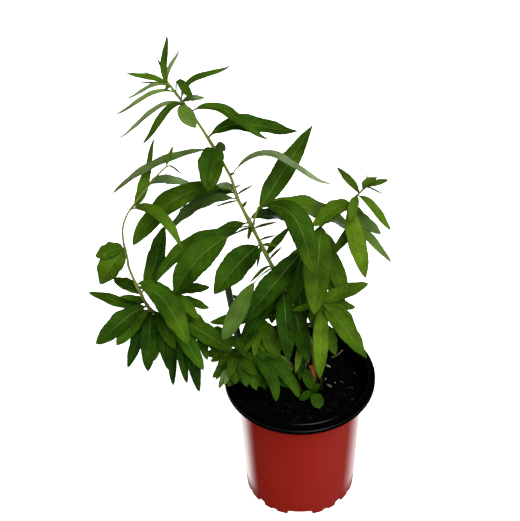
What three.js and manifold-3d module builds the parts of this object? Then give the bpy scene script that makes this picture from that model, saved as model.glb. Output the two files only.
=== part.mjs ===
// Potted aloysia polystachya: a young herb with long lance-shaped leaves in a red plastic nursery pot.
// Millimetres. X is to the right, Y away from the viewer, Z up. The pot stands on z = 0 at the origin.
import * as THREE from 'three';
import { mergeVertices } from 'three/addons/utils/BufferGeometryUtils.js';
import Module from 'manifold-3d';

const wasm = await Module();
wasm.setup();

// Pot, read from its rim and foot ellipses, with the rim of a common 13 cm nursery pot
const POT_HEIGHT = 131;
const RIM_RADIUS = 65;
const COLLAR_DROP = 8;
const SHOULDER_RADIUS = 55.6;
const SHOULDER_FOOT = 111;
const BODY_TOP_RADIUS = 53.4;
const FOOT_RADIUS = 48;
const POT_WALL = 1.6;
const POT_FLOOR = 5;
const POT_SIDES = 40;
const NOTCH_HEIGHT = 4;
const NOTCH_COUNT = 8;
const DRAIN_RADIUS = 3.5;
const DRAIN_RING = 30;

// Soil
const FIT_GAP = 0.35;
const SOIL_TOP = 116;
const STEM_FOOT = 101;
const HOLE_PLAY = 1;
const HOLE_DEPTH = 40;

// Stake
const STAKE_RADIUS = 3.1;
const STAKE_FOOT = [-39.5, 6, 60];
const STAKE_TOP = [-62, 5, 246];

// Stems
const STEM_SIDES = 6;
const SHOOT_STRAIGHT_TOP = 119;
// where each shoot leaves the soil, and its radius there
const SHOOTS = {
  leader: { foot: [14, 6], radius: 2.6 },
  leftBranch: { foot: [-2, 2], radius: 2.2 },
  rightShoot: { foot: [6, 14], radius: 2 },
  innerShoot: { foot: [18, -4], radius: 1.8 },
  frontShoot: { foot: [1, -9], radius: 1.8 },
  leftInnerShoot: { foot: [-6, 12], radius: 1.7 },
  basalSprig: { foot: [11, -15], radius: 1.3 },
};

// Leaves
const BLADE_THICKNESS = 1.3;
const BROAD_STATIONS = [0, 0.11, 0.26, 0.44, 0.64, 0.84, 1];
const NARROW_STATIONS = [0, 0.2, 0.5, 0.8, 1];
const SLIP_STATIONS = [0, 0.25, 0.6, 1];
const NARROW_WIDTH = 7.5;
const VIEW_DOWN = THREE.MathUtils.degToRad(42);

const COLOURS = {
  pot: { color: 0xa6321f, roughness: 0.42, metalness: 0 },
  soil: { color: 0x15110e, roughness: 0.95, metalness: 0 },
  stake: { color: 0x20241f, roughness: 0.5, metalness: 0 },
  leaf: { color: 0x3f7d1c, roughness: 0.55, metalness: 0 },
  youngLeaf: { color: 0x6fa32a, roughness: 0.55, metalness: 0 },
};

// A reach as seen from the front, 42 degrees above: right, up and toward the eye
function sight(right, up, toward) {
  const rise = Math.cos(VIEW_DOWN);
  const lean = Math.sin(VIEW_DOWN);
  return new THREE.Vector3(right, up * lean - toward * rise, up * rise + toward * lean);
}

// Solids and meshes

function solidFrom(geometry) {
  const bare = geometry.clone();
  bare.deleteAttribute('normal');
  bare.deleteAttribute('uv');
  const merged = mergeVertices(bare, 1e-4);
  const corners = [];
  for (let i = 0; i < merged.index.count; i += 3) {
    const a = merged.index.getX(i);
    const b = merged.index.getX(i + 1);
    const c = merged.index.getX(i + 2);
    if (a !== b && b !== c && a !== c) corners.push(a, b, c);
  }
  return new wasm.Manifold(new wasm.Mesh({
    numProp: 3,
    vertProperties: new Float32Array(merged.attributes.position.array),
    triVerts: new Uint32Array(corners),
  }));
}

function solidFromRings(rings, tip) {
  const around = rings[0].length;
  const points = rings.flat();
  const corners = [];
  for (let i = 0; i + 1 < rings.length; i += 1) {
    for (let j = 0; j < around; j += 1) {
      const next = (j + 1) % around;
      const near = i * around;
      const far = near + around;
      // the diagonal starts at the edge corner on both faces of a blade
      if (j % 2 === 0) {
        corners.push(near + j, near + next, far + next, near + j, far + next, far + j);
      } else {
        corners.push(near + j, near + next, far + j, near + next, far + next, far + j);
      }
    }
  }
  for (let j = 1; j + 1 < around; j += 1) corners.push(0, j + 1, j);
  const last = (rings.length - 1) * around;
  if (tip) {
    points.push(tip);
    for (let j = 0; j < around; j += 1) corners.push(last + j, last + ((j + 1) % around), points.length - 1);
  } else {
    for (let j = 1; j + 1 < around; j += 1) corners.push(last, last + j, last + j + 1);
  }
  return solidFrom(new THREE.BufferGeometry().setFromPoints(points).setIndex(corners));
}

function meshFrom(solid, name, colour) {
  const raw = solid.getMesh();
  const geometry = new THREE.BufferGeometry();
  const positions = [];
  for (let i = 0; i < raw.vertProperties.length; i += raw.numProp) {
    positions.push(raw.vertProperties[i], raw.vertProperties[i + 1], raw.vertProperties[i + 2]);
  }
  geometry.setAttribute('position', new THREE.Float32BufferAttribute(positions, 3));
  geometry.setIndex(Array.from(raw.triVerts));
  geometry.computeVertexNormals();
  const mesh = new THREE.Mesh(geometry, new THREE.MeshStandardMaterial(COLOURS[colour]));
  mesh.name = name;
  return mesh;
}

function fuse(solids) {
  const bodies = wasm.Manifold.union(solids).decompose();
  return bodies.reduce((largest, body) => (body.volume() > largest.volume() ? body : largest));
}

// Stems

// A tapering stem through the points of its route
class Stem {
  constructor(route, footRadius, tipRadius) {
    this.points = route.map((point) => new THREE.Vector3(...point));
    this.curve = new THREE.CatmullRomCurve3(this.points, false, 'catmullrom', 0.5);
    this.footRadius = footRadius;
    this.tipRadius = tipRadius;
  }

  // station 0 is the first point of the route, 1 the second, and so on
  at(station) {
    return this.curve.getPoint(station / (this.points.length - 1));
  }

  heading(station) {
    return this.curve.getTangent(station / (this.points.length - 1));
  }

  radiusAt(station) {
    return THREE.MathUtils.lerp(this.footRadius, this.tipRadius, station / (this.points.length - 1));
  }

  solid() {
    const rings = [];
    const steps = (this.points.length - 1) * 2;
    let side = new THREE.Vector3(1, 0, 0);
    for (let i = 0; i <= steps; i += 1) {
      const station = i / 2;
      const heading = this.heading(station).normalize();
      side = side.clone().addScaledVector(heading, -side.dot(heading)).normalize();
      const other = heading.clone().cross(side);
      const ring = [];
      for (let j = 0; j < STEM_SIDES; j += 1) {
        const turn = (j / STEM_SIDES) * Math.PI * 2;
        const radius = this.radiusAt(station);
        ring.push(this.at(station)
          .addScaledVector(side, Math.cos(turn) * radius)
          .addScaledVector(other, Math.sin(turn) * radius));
      }
      rings.push(ring);
    }
    return solidFromRings(rings);
  }
}

// Leaves

function widthShare(part, round) {
  const lance = (part ** 0.75 * (1 - part) ** 1.1) / (0.4 ** 0.75 * 0.6 ** 1.1);
  const disc = 2 * Math.sqrt(part * (1 - part));
  return THREE.MathUtils.lerp(lance, disc, round);
}

// a bow that is highest a third of the way out
function bow(t) {
  return 6.75 * t * (1 - t) ** 2;
}

function bowSlope(t) {
  return 6.75 * (1 - t) * (1 - 3 * t);
}

// a bow that is highest past the middle, so that the tip end hangs steeply
function droop(t) {
  return 2.6 * t * (1 - t * t);
}

function droopSlope(t) {
  return 2.6 * (1 - 3 * t * t);
}

function blade(root, reach, width, form = {}) {
  const { arch = 4, hang = 0, roll = 0, bend = 0, petiole = 0.07, fold = 0.18, round = 0 } = form;
  const stations = form.stations || (width < NARROW_WIDTH ? NARROW_STATIONS : BROAD_STATIONS);
  const along = reach.clone().normalize();
  const squared = (direction) => direction.addScaledVector(along, -direction.dot(along)).normalize();
  const rise = squared(new THREE.Vector3(0, -0.02, 1));
  const face = squared(new THREE.Vector3(0, -0.33, 0.94)).applyAxisAngle(along, THREE.MathUtils.degToRad(roll));
  const sideways = along.clone().cross(face);
  const middle = (t) => root.clone()
    .addScaledVector(reach, t)
    .addScaledVector(rise, arch * bow(t) + hang * droop(t))
    .addScaledVector(sideways, bend * bow(t));
  const rings = stations.slice(0, -1).map((t, i) => {
    const heading = reach.clone()
      .addScaledVector(rise, arch * bowSlope(t) + hang * droopSlope(t))
      .addScaledVector(sideways, bend * bowSlope(t))
      .normalize();
    const side = heading.clone().cross(face).normalize();
    const lift = side.clone().cross(heading);
    const part = Math.max(0, (t - petiole) / (1 - petiole));
    const spread = Math.max(0.75, (width / 2) * widthShare(part, round) * (1 + (i % 2 ? 0.05 : -0.05)));
    const wave = Math.min(0.6, width * 0.04) * (i % 2 ? 1 : -1);
    const thick = BLADE_THICKNESS * (1 - 0.35 * t) / 2;
    const centre = middle(t);
    return [
      centre.clone().addScaledVector(side, -spread).addScaledVector(lift, fold * spread + wave),
      centre.clone().addScaledVector(lift, thick),
      centre.clone().addScaledVector(side, spread).addScaledVector(lift, fold * spread - wave),
      centre.clone().addScaledVector(lift, -thick),
    ];
  });
  return solidFromRings(rings, middle(1));
}

// One leaf of a stem: its station, its reach as seen (right, up, toward), its width and its form
function leaf(stem, station, reach, width, form = {}) {
  const out = sight(...reach);
  const inset = Math.min(0.7, stem.radiusAt(station) * 0.6);
  const root = stem.at(station).addScaledVector(out.clone().normalize(), -inset);
  return blade(root, out.addScaledVector(out.clone().normalize(), inset), width, form);
}

// A small leaf of an axil
function slip(stem, station, reach, width, form = {}) {
  return leaf(stem, station, reach, width, { arch: 1, petiole: 0.1, fold: 0.1, stations: SLIP_STATIONS, ...form });
}

function leafyStem(name, colour, stems, leaves) {
  return meshFrom(fuse([...stems.map((stem) => stem.solid()), ...leaves]), name, colour);
}

// A shoot stands upright in the soil and then follows its route
function shoot({ foot, radius }, route, tipRadius) {
  return new Stem([[...foot, STEM_FOOT], [...foot, SHOOT_STRAIGHT_TOP], ...route], radius, tipRadius);
}

// Leader: the long shoot that leans left, the tallest of the plant
function leader() {
  const stem = shoot(SHOOTS.leader, [
    [10, 6, 158], [0, 8, 185], [-13, 10, 220], [-26, 12, 253],
    [-38, 14, 284], [-50, 16, 315], [-55, 17, 336], [-67, 18, 364], [-80, 20, 390], [-90, 20, 408],
    [-101, 20, 427],
  ], 0.9);
  const spur = new Stem([[-38, 13, 286], [-36, 9, 302], [-33, 6, 314]], 1.6, 1.1);
  const leaves = [
    // growing tip
    leaf(stem, 11.95, [0, 35, 10], 5.5, { arch: 0, bend: -3, petiole: 0.02 }),
    leaf(stem, 11.95, [9, 25, 4], 3.5, { arch: 0, bend: -3 }),
    slip(stem, 11.95, [-9, 21, -5], 2.5),
    leaf(stem, 11.9, [-32, 8, 4], 5, { arch: 2 }),
    slip(stem, 11.85, [-24, 3, -6], 2.5),
    slip(stem, 11.9, [-20, 10, -4], 3),
    slip(stem, 11.8, [-4, -3, 3], 4),
    leaf(stem, 11.45, [-44, -17, 6], 6, { arch: 10 }),
    leaf(stem, 11.7, [-29, -12, 0], 6, { arch: 6 }),
    leaf(stem, 10.95, [-47, -28, 10], 6, { arch: 9 }),
    leaf(stem, 10.85, [-31, -31, 16], 6, { arch: 10 }),
    leaf(stem, 11.05, [37, 28, -6], 5.5, { arch: 5, bend: -10 }),
    leaf(stem, 11.4, [13, -3, 8], 7, { arch: 13, petiole: 0.3 }),
    leaf(stem, 11, [13, -24, -2], 12, { arch: 2, bend: 3, roll: 10 }),
    leaf(stem, 11, [17, 4, -4], 6, { arch: 2 }),
    // upper whorls
    leaf(stem, 10.4, [60, -21, 4], 9, { arch: 14 }),
    leaf(stem, 9.35, [70, 6, -3], 16, { arch: 12 }),
    leaf(stem, 8.95, [-4, -33, 22], 20, { arch: 10 }),
    leaf(stem, 9, [-80, -35, -4], 8, { arch: 3, hang: 8, petiole: 0.1 }),
    leaf(stem, 8, [80, -5, -6], 8, { arch: 27 }),
    slip(stem, 8.05, [4, 2, 2], 3),
    leaf(stem, 7.3, [-81, -43, 8], 20, { arch: 12, hang: 13, petiole: 0.12 }),
    slip(stem, 7.4, [5, 4, 0], 2),
    slip(stem, 7.1, [14, 9, 0], 2.5),
    leaf(stem, 6.95, [-56, -24, -8], 12, { arch: 7, hang: 6 }),
    slip(stem, 6.9, [-20, -5, 6], 2.5),
    slip(stem, 6.65, [4, 6, 0], 3.5),
    // middle whorls
    leaf(spur, 1.95, [47, -57, 18], 20, { arch: 13, hang: 7, bend: -8 }),
    leaf(spur, 1.9, [78, -15, -72], 21, { arch: 6, hang: 4 }),
    leaf(stem, 6.1, [-79, -47, -6], 13, { arch: 3, hang: 15, petiole: 0.2 }),
    leaf(stem, 6.05, [-62, -53, 10], 25, { arch: 4, hang: 12, petiole: 0.27 }),
    slip(stem, 6.1, [-3, -12, 4], 4.5),
    leaf(spur, 1.3, [46, 72, -8], 17, { arch: 3, bend: 2 }),
    slip(stem, 6, [20, 6, 0], 3.5),
    slip(stem, 5.6, [14, 5, -3], 2.5),
    leaf(stem, 5.5, [-38, -41, 6], 24, { arch: 2, hang: 2 }),
    slip(stem, 5.45, [14, 0, 3], 4.5),
    slip(stem, 5.5, [-3, -20, 2], 3.5),
    leaf(stem, 5.1, [19, 24, 2], 7, { arch: 2 }),
    slip(stem, 4.95, [11, 12, 2], 3),
    slip(stem, 4.75, [-19, -13, 5], 4, { arch: 4 }),
    leaf(stem, 4.7, [-40, -57, 44], 15, { arch: 4, bend: 4, petiole: 0.3 }),
    // lower whorls
    leaf(stem, 4.1, [5, -62, 10], 16, { arch: 6 }),
    leaf(stem, 3.55, [13, -48, -2], 15, { arch: 4, petiole: 0.02 }),
    leaf(stem, 3.4, [-24, -3, -6], 9, { arch: 3 }),
    // far side
    leaf(stem, 8.6, [-10, -22, -46], 11, { arch: 2 }),
    leaf(stem, 7.2, [-48, -12, -46], 13, { arch: 5 }),
    leaf(stem, 6.2, [-48, -34, -44], 15, { arch: 6 }),
    leaf(stem, 6.3, [40, 2, -46], 14, { arch: 4 }),
    leaf(stem, 5.3, [-34, -28, -44], 15, { arch: 2 }),
    leaf(stem, 4.4, [-6, -40, -38], 14, { arch: 4 }),
    leaf(stem, 3.6, [-8, -34, -42], 14, { arch: 4 }),
  ];
  return leafyStem('leader', 'leaf', [stem, spur], leaves);
}

// Left branch: low over the rim, then upright, with the broad bunch at its bend
function leftBranch() {
  const stem = shoot(SHOOTS.leftBranch, [
    [-12, -4, 151], [-42, -12, 177], [-83, -16, 205], [-107, -16, 214],
    [-122, -14, 219], [-131, -12, 239], [-138, -10, 262], [-139, -9, 273], [-141, -8, 288],
    [-141, -7, 302], [-138, -6, 313], [-133, -6, 323], [-119, -5, 344], [-110, -4, 356], [-103, -4, 364],
  ], 0.7);
  const twig = new Stem([[-109, -16, 213], [-106, -14, 225], [-105, -12, 236]], 1.4, 0.9);
  const leaves = [
    leaf(stem, 13, [18, 55, 0], 5, { arch: 0, bend: 5 }),
    leaf(stem, 13.05, [14, 34, 3], 9, { arch: 0, bend: 3 }),
    leaf(stem, 15.95, [5, 16, 0], 4.5, { arch: 1 }),
    slip(stem, 15.95, [13, -6, 4], 2, { arch: 3 }),
    leaf(stem, 14, [33, 4, 4], 8, { arch: 6 }),
    leaf(stem, 12.9, [42, -31, 12], 9, { arch: 8, hang: 12 }),
    leaf(stem, 9.5, [-20, -27, 6], 20, { arch: 4 }),
    leaf(stem, 9.55, [-24, -4, 2], 12, { arch: 3 }),
    // the bunch at the bend
    leaf(stem, 6.8, [-24, 14, -8], 11, { arch: 3 }),
    leaf(stem, 6.3, [-49, 11, -2], 10, { arch: -1, bend: -2 }),
    leaf(stem, 6.5, [-20, 5, 5], 6, { arch: 1 }),
    leaf(stem, 6.3, [-42, -31, 6], 17, { arch: 4 }),
    leaf(stem, 6.1, [-27, -29, 10], 14, { arch: 4 }),
    leaf(stem, 6, [-20, -47, 0], 11, { arch: 4 }),
    leaf(stem, 6, [-2, -49, 16], 14, { arch: 5 }),
    leaf(stem, 6, [-17, -25, -5], 8, { arch: 3 }),
    leaf(stem, 6.9, [19, 55, -6], 15, { arch: 2, bend: 4 }),
    leaf(stem, 7.2, [43, -46, 18], 20, { arch: 4, hang: 6, bend: -5 }),
    leaf(stem, 7.3, [28, -4, -5], 7, { arch: 3 }),
    leaf(stem, 5.9, [19, -30, 14], 11, { arch: 4 }),
    leaf(stem, 4.5, [14, -59, 8], 11, { arch: 4 }),
    leaf(stem, 5, [3, -56, 8], 9, { arch: 4 }),
    leaf(stem, 4.85, [11, -54, 2], 9, { arch: 4 }),
    leaf(stem, 5.7, [10, -46, 4], 9, { arch: 4 }),
    leaf(stem, 5.2, [32, -44, 12], 14, { arch: 6 }),
    leaf(stem, 4.6, [44, -25, 18], 16, { arch: 4, bend: 2 }),
    leaf(stem, 4.2, [28, -26, 10], 7, { arch: 3 }),
    leaf(twig, 1.95, [23, -20, 8], 9, { arch: 4 }),
    leaf(twig, 1.95, [31, 6, -6], 10, { arch: 3 }),
    slip(twig, 1.95, [22, 15, -2], 2.5),
    leaf(twig, 1.3, [31, -5, -8], 9, { arch: 4 }),
    leaf(twig, 0.9, [31, -18, -6], 10, { arch: 4 }),
    leaf(twig, 0.6, [26, -26, -9], 9, { arch: 4 }),
    // far side
    leaf(stem, 7.1, [14, -14, -42], 13, { arch: 4 }),
    leaf(stem, 6.4, [-18, -12, -40], 13, { arch: 6 }),
    leaf(stem, 5.5, [4, -22, -38], 13, { arch: 6 }),
    leaf(stem, 4.7, [24, -26, -34], 12, { arch: 6 }),
  ];
  return leafyStem('left_branch', 'leaf', [stem, twig], leaves);
}

// Right shoot: bright young leaves at its tip, broad ones lower down
function rightShoot() {
  const stem = shoot(SHOOTS.rightShoot, [
    [8, 14, 147], [3, 18, 189], [0, 22, 220], [2, 24, 252], [11, 24, 270],
    [21, 22, 284], [37, 20, 300], [43, 19, 311], [47, 18, 318], [53, 17, 326],
  ], 0.8);
  const leaves = [
    leaf(stem, 9.7, [27, -28, 6], 7, { arch: 5 }),
    leaf(stem, 8, [29, -20, -8], 11, { arch: 0 }),
    leaf(stem, 8, [37, -43, -4], 8, { arch: -1 }),
    leaf(stem, 8.4, [12, -59, 14], 15, { arch: 4, bend: 2 }),
    leaf(stem, 10.95, [18, 6, 0], 5, { arch: 1 }),
    leaf(stem, 10.6, [11, 10, 2], 6, { arch: 4 }),
    slip(stem, 10.6, [4, 13, -3], 2),
    slip(stem, 10.95, [14, -6, 4], 2),
    leaf(stem, 10.1, [-18, 21, -4], 5.5, { arch: 2 }),
    leaf(stem, 10, [-14, 14, 3], 4, { arch: 1 }),
    leaf(stem, 9.7, [-6, -21, 9], 8, { arch: 3 }),
    leaf(stem, 8.5, [-31, -18, 6], 14, { arch: 5, petiole: 0.03 }),
    leaf(stem, 8.1, [-22, -12, -10], 13, { arch: 3 }),
    leaf(stem, 8.2, [-13, -41, -14], 8, { arch: 2, bend: -8 }),
    leaf(stem, 6.7, [-6, -72, 12], 23, { arch: 6, petiole: 0.03 }),
    leaf(stem, 6.1, [27, -54, -16], 15, { arch: 4, petiole: 0.2 }),
    leaf(stem, 5.05, [-51, -62, 12], 20, { arch: 5, bend: -3 }),
    leaf(stem, 4.7, [-7, -38, -8], 15, { arch: 3, petiole: 0.02 }),
    // far side
    leaf(stem, 8.6, [10, -38, -34], 11, { arch: 4 }),
    leaf(stem, 6.3, [8, -44, -44], 16, { arch: 6 }),
    leaf(stem, 5.2, [-14, -44, -44], 14, { arch: 4 }),
    leaf(stem, 4.2, [14, -50, -36], 15, { arch: 5 }),
  ];
  return leafyStem('right_shoot', 'youngLeaf', [stem], leaves);
}

// Inner shoot: the bright whorl over the right half of the soil
function innerShoot() {
  const stem = shoot(SHOOTS.innerShoot, [[18, -6, 177], [18, -10, 221], [21, -8, 248]], 0.9);
  const leaves = [
    leaf(stem, 3, [-2, -59, 14], 13, { arch: 3, petiole: 0.03 }),
    leaf(stem, 3, [37, -43, 6], 17, { arch: 5, petiole: 0.01 }),
    leaf(stem, 3.1, [28, -22, -8], 14, { arch: 3, petiole: 0.02 }),
    leaf(stem, 3.05, [28, -3, -8], 9, { arch: 2 }),
    leaf(stem, 3.1, [38, 16, 4], 13, { arch: 2, petiole: 0.02 }),
    leaf(stem, 3.1, [22, -14, -36], 12, { arch: 6 }),
    leaf(stem, 3, [-25, -4, 2], 6, { arch: 2 }),
    leaf(stem, 2.5, [12, -28, -6], 11, { arch: 3 }),
  ];
  return leafyStem('inner_shoot', 'youngLeaf', [stem], leaves);
}

// Front shoot: the low bunch over the front left of the rim
function frontShoot() {
  const stem = shoot(SHOOTS.frontShoot, [[-13, -11, 148], [-35, -14, 166], [-54, -18, 173]], 1);
  const leaves = [
    leaf(stem, 3.45, [24, -39, 9], 11, { arch: 2, hang: 17 }),
    leaf(stem, 3.4, [42, -36, 8], 11, { arch: 2, hang: 12 }),
    leaf(stem, 3.7, [43, -13, 10], 11, { arch: 4 }),
    leaf(stem, 3.95, [9, -27, 10], 8.5, { arch: 4 }),
    leaf(stem, 3.9, [16, -30, 8], 8, { arch: 4 }),
    leaf(stem, 3.95, [-1, -25, 8], 10, { arch: 4 }),
    leaf(stem, 3.6, [37, -28, 2], 9, { arch: 5 }),
    slip(stem, 3.9, [-14, -25, 4], 6, { arch: 4 }),
    slip(stem, 3.9, [-19, -22, 1], 4, { arch: 3 }),
    slip(stem, 3.95, [-10, -26, 8], 5, { arch: 4 }),
    leaf(stem, 3.8, [-24, -2, -4], 8, { arch: 3 }),
    leaf(stem, 3.4, [20, -16, 14], 9, { arch: 4, bend: 3 }),
    leaf(stem, 3.2, [27, -6, 2], 9, { arch: 4 }),
  ];
  return leafyStem('front_shoot', 'leaf', [stem], leaves);
}

// Left inner shoot: a short one between the leader and the stake
function leftInnerShoot() {
  const stem = shoot(SHOOTS.leftInnerShoot, [[-14, 10, 151], [-27, 9, 173], [-35, 10, 187]], 0.9);
  const leaves = [
    leaf(stem, 3.95, [16, -34, 13], 15, { arch: 4, petiole: 0.02 }),
    leaf(stem, 3.95, [-13, -30, 22], 10, { arch: 4 }),
    leaf(stem, 3.9, [-4, -31, 21], 8, { arch: 4 }),
    leaf(stem, 3.8, [3, -30, 14], 8, { arch: 4 }),
    leaf(stem, 3.9, [-23, 21, -7], 8, { arch: 3 }),
    leaf(stem, 3.8, [-41, 0, 34], 10, { arch: 5, roll: -25 }),
    leaf(stem, 3.6, [-10, -14, -30], 12, { arch: 6 }),
    leaf(stem, 3.7, [14, 4, -26], 10, { arch: 5 }),
  ];
  return leafyStem('left_inner_shoot', 'leaf', [stem], leaves);
}

// Basal sprig: small round leaves close to the soil in front of the crown
function basalSprig() {
  const stem = shoot(SHOOTS.basalSprig, [[12, -16, 125]], 0.9);
  const leaves = [
    leaf(stem, 1.6, [6, -14, 8], 11, { arch: 3, round: 0.9, petiole: 0.2 }),
    leaf(stem, 1.9, [-10, 21, 4], 10, { arch: 1, round: 0.45, petiole: 0.12 }),
    leaf(stem, 1.9, [4, 6, 6], 5, { arch: 1, round: 0.8 }),
    leaf(stem, 1.5, [-11, -4, 7], 6, { arch: 2, round: 0.6 }),
  ];
  return leafyStem('basal_sprig', 'youngLeaf', [stem], leaves);
}

// Stake: a straight dark cane pushed into the soil near the left wall
function stakeSolid(radius, foot, top) {
  const bottom = new THREE.Vector3(...foot);
  const axis = new THREE.Vector3(...top).sub(bottom);
  const cane = new THREE.CylinderGeometry(radius, radius, axis.length(), 20);
  cane.applyQuaternion(new THREE.Quaternion().setFromUnitVectors(new THREE.Vector3(0, 1, 0), axis.clone().normalize()));
  cane.translate(...bottom.addScaledVector(axis, 0.5).toArray());
  return solidFrom(cane);
}

// Pot

function lathe(profile) {
  const points = [...profile, profile[0]].map(([radius, z]) => new THREE.Vector2(radius, z));
  const geometry = new THREE.LatheGeometry(points, POT_SIDES);
  geometry.rotateX(Math.PI / 2);
  return geometry;
}

function bodyRadius(z) {
  return THREE.MathUtils.mapLinear(z, 0, SHOULDER_FOOT, FOOT_RADIUS, BODY_TOP_RADIUS);
}

function pot() {
  const collarFoot = POT_HEIGHT - COLLAR_DROP;
  const shell = solidFrom(lathe([
    [0, 0],
    [FOOT_RADIUS - 1.5, 0],
    [bodyRadius(1.5), 1.5],
    [BODY_TOP_RADIUS, SHOULDER_FOOT],
    [SHOULDER_RADIUS - 0.8, SHOULDER_FOOT + 2],
    [SHOULDER_RADIUS, collarFoot + 1],
    [RIM_RADIUS - 1.7, collarFoot + 2],
    [RIM_RADIUS - 1.7, collarFoot],
    [RIM_RADIUS, collarFoot],
    [RIM_RADIUS, POT_HEIGHT - 3.4],
    [RIM_RADIUS - 1, POT_HEIGHT - 1],
    [RIM_RADIUS - 3.4, POT_HEIGHT],
    [RIM_RADIUS - 4.6, POT_HEIGHT],
    [RIM_RADIUS - 6, POT_HEIGHT - 1],
    [RIM_RADIUS - 6.6, POT_HEIGHT - 4],
    [SHOULDER_RADIUS - POT_WALL, collarFoot - 1],
    [SHOULDER_RADIUS - 0.8 - POT_WALL, SHOULDER_FOOT + 2.5],
    [BODY_TOP_RADIUS - POT_WALL, SHOULDER_FOOT + 0.5],
    [bodyRadius(POT_FLOOR) - POT_WALL, POT_FLOOR],
    [0, POT_FLOOR],
  ]));
  const cuts = [];
  for (let i = 0; i < NOTCH_COUNT; i += 1) {
    const turn = ((i - 2) / NOTCH_COUNT) * Math.PI * 2;
    const width = i % 2 ? 13 : 22;
    const notch = new THREE.BoxGeometry(9, width, NOTCH_HEIGHT * 2);
    notch.translate(FOOT_RADIUS, 0, 0);
    notch.rotateZ(turn);
    cuts.push(solidFrom(notch));
    const drain = new THREE.CylinderGeometry(DRAIN_RADIUS, DRAIN_RADIUS, POT_FLOOR * 3, 12);
    drain.rotateX(Math.PI / 2);
    drain.translate(DRAIN_RING, 0, 0);
    drain.rotateZ(turn);
    cuts.push(solidFrom(drain));
  }
  return meshFrom(shell.subtract(wasm.Manifold.union(cuts)), 'pot', 'pot');
}

// Soil

function soilLump(x, y) {
  return 0.9 * Math.sin(x * 0.21 + y * 0.11) + 0.7 * Math.sin(y * 0.27 - x * 0.09 + 1.3) + 0.5 * Math.sin(x * 0.43 + 2);
}

function soil() {
  const wallTop = bodyRadius(SHOULDER_FOOT - 1) - POT_WALL - FIT_GAP;
  const neck = SHOULDER_RADIUS - 0.8 - POT_WALL - FIT_GAP;
  const floor = POT_FLOOR + FIT_GAP;
  const bed = lathe([
    [0, floor],
    [bodyRadius(floor) - POT_WALL - FIT_GAP, floor],
    [wallTop, SHOULDER_FOOT - 1],
    [wallTop, SHOULDER_FOOT + 3],
    [neck, SHOULDER_FOOT + 4],
    [39, SOIL_TOP],
    [26, SOIL_TOP],
    [13, SOIL_TOP],
    [0, SOIL_TOP],
  ]);
  const spots = bed.attributes.position;
  for (let i = 0; i < spots.count; i += 1) {
    if (spots.getZ(i) > SOIL_TOP - 0.1) {
      spots.setZ(i, SOIL_TOP + soilLump(spots.getX(i), spots.getY(i)));
    }
  }
  const holes = Object.values(SHOOTS).map(({ foot: [x, y], radius }) => {
    const hole = new THREE.CylinderGeometry(radius + HOLE_PLAY, radius + HOLE_PLAY, HOLE_DEPTH, 8);
    hole.rotateX(Math.PI / 2);
    hole.translate(x, y, STEM_FOOT - FIT_GAP + HOLE_DEPTH / 2);
    return solidFrom(hole);
  });
  const [footX, footY, footZ] = STAKE_FOOT;
  holes.push(stakeSolid(STAKE_RADIUS + HOLE_PLAY, [footX, footY, footZ - FIT_GAP], STAKE_TOP));
  return meshFrom(solidFrom(bed).subtract(wasm.Manifold.union(holes)), 'soil', 'soil');
}

const plant = new THREE.Group();
plant.name = 'potted_aloysia_polystachya';
plant.add(pot());
plant.add(soil());
plant.add(meshFrom(stakeSolid(STAKE_RADIUS, STAKE_FOOT, STAKE_TOP), 'stake', 'stake'));
plant.add(leader());
plant.add(leftBranch());
plant.add(rightShoot());
plant.add(innerShoot());
plant.add(frontShoot());
plant.add(leftInnerShoot());
plant.add(basalSprig());

export default plant;
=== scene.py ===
import math
import random

import bmesh
import bpy
from mathutils import Matrix, Vector, noise


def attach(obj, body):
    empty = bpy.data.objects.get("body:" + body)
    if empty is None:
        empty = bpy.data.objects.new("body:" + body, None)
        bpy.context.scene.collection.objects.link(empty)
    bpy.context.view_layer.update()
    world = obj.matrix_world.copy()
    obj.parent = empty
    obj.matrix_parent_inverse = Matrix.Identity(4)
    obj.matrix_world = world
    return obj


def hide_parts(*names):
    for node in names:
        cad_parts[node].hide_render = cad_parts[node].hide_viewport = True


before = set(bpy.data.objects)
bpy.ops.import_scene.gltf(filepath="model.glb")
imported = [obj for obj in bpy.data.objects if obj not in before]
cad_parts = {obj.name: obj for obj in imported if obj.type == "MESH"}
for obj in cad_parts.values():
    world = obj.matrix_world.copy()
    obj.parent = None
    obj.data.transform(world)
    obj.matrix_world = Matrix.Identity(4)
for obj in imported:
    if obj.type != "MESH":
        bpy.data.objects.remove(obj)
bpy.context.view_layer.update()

# A potted herb with long lance-shaped leaves. The tables are in millimetres, the scene in metres.
mm = 0.001


# Studio

studio = {
    "floor": 40,
    "floorGlow": (0.78, 0.78, 0.78, 1),
    "cameraPlace": (0, -1.084, 1.245),
    "cameraDown": 42.2,
    "focalLength": 124.4,
    "sensor": 36,
    "shift": (-0.0768, 0),
    "clipEnd": 100,
    "worldStrength": 0.2,
    # a wide soft sky light: the place it shines from, its strength and its spread
    "sun": ((0.24, -0.6, 1), 5.4, 42),
    # name, place, size, energy and whether it shows in reflections
    "lights": [
        ("frontSoftbox", (0.9, -2.2, 1.3), (0.6, 0.4), 12, True),
        # low behind the plant, for the leaves that face away from the camera
        ("backSoftbox", (-0.3, 2.2, 0.3), (1.2, 0.5), 50, False),
    ],
    "lightsAimAt": (0, 0, 0.15),
}


def addLight(name, kind, energy, heading):
    data = bpy.data.lights.new(name, kind)
    data.energy = energy
    light = bpy.data.objects.new(name, data)
    light.rotation_euler = heading.to_track_quat("-Z", "Y").to_euler()
    bpy.context.scene.collection.objects.link(light)
    return light


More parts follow.
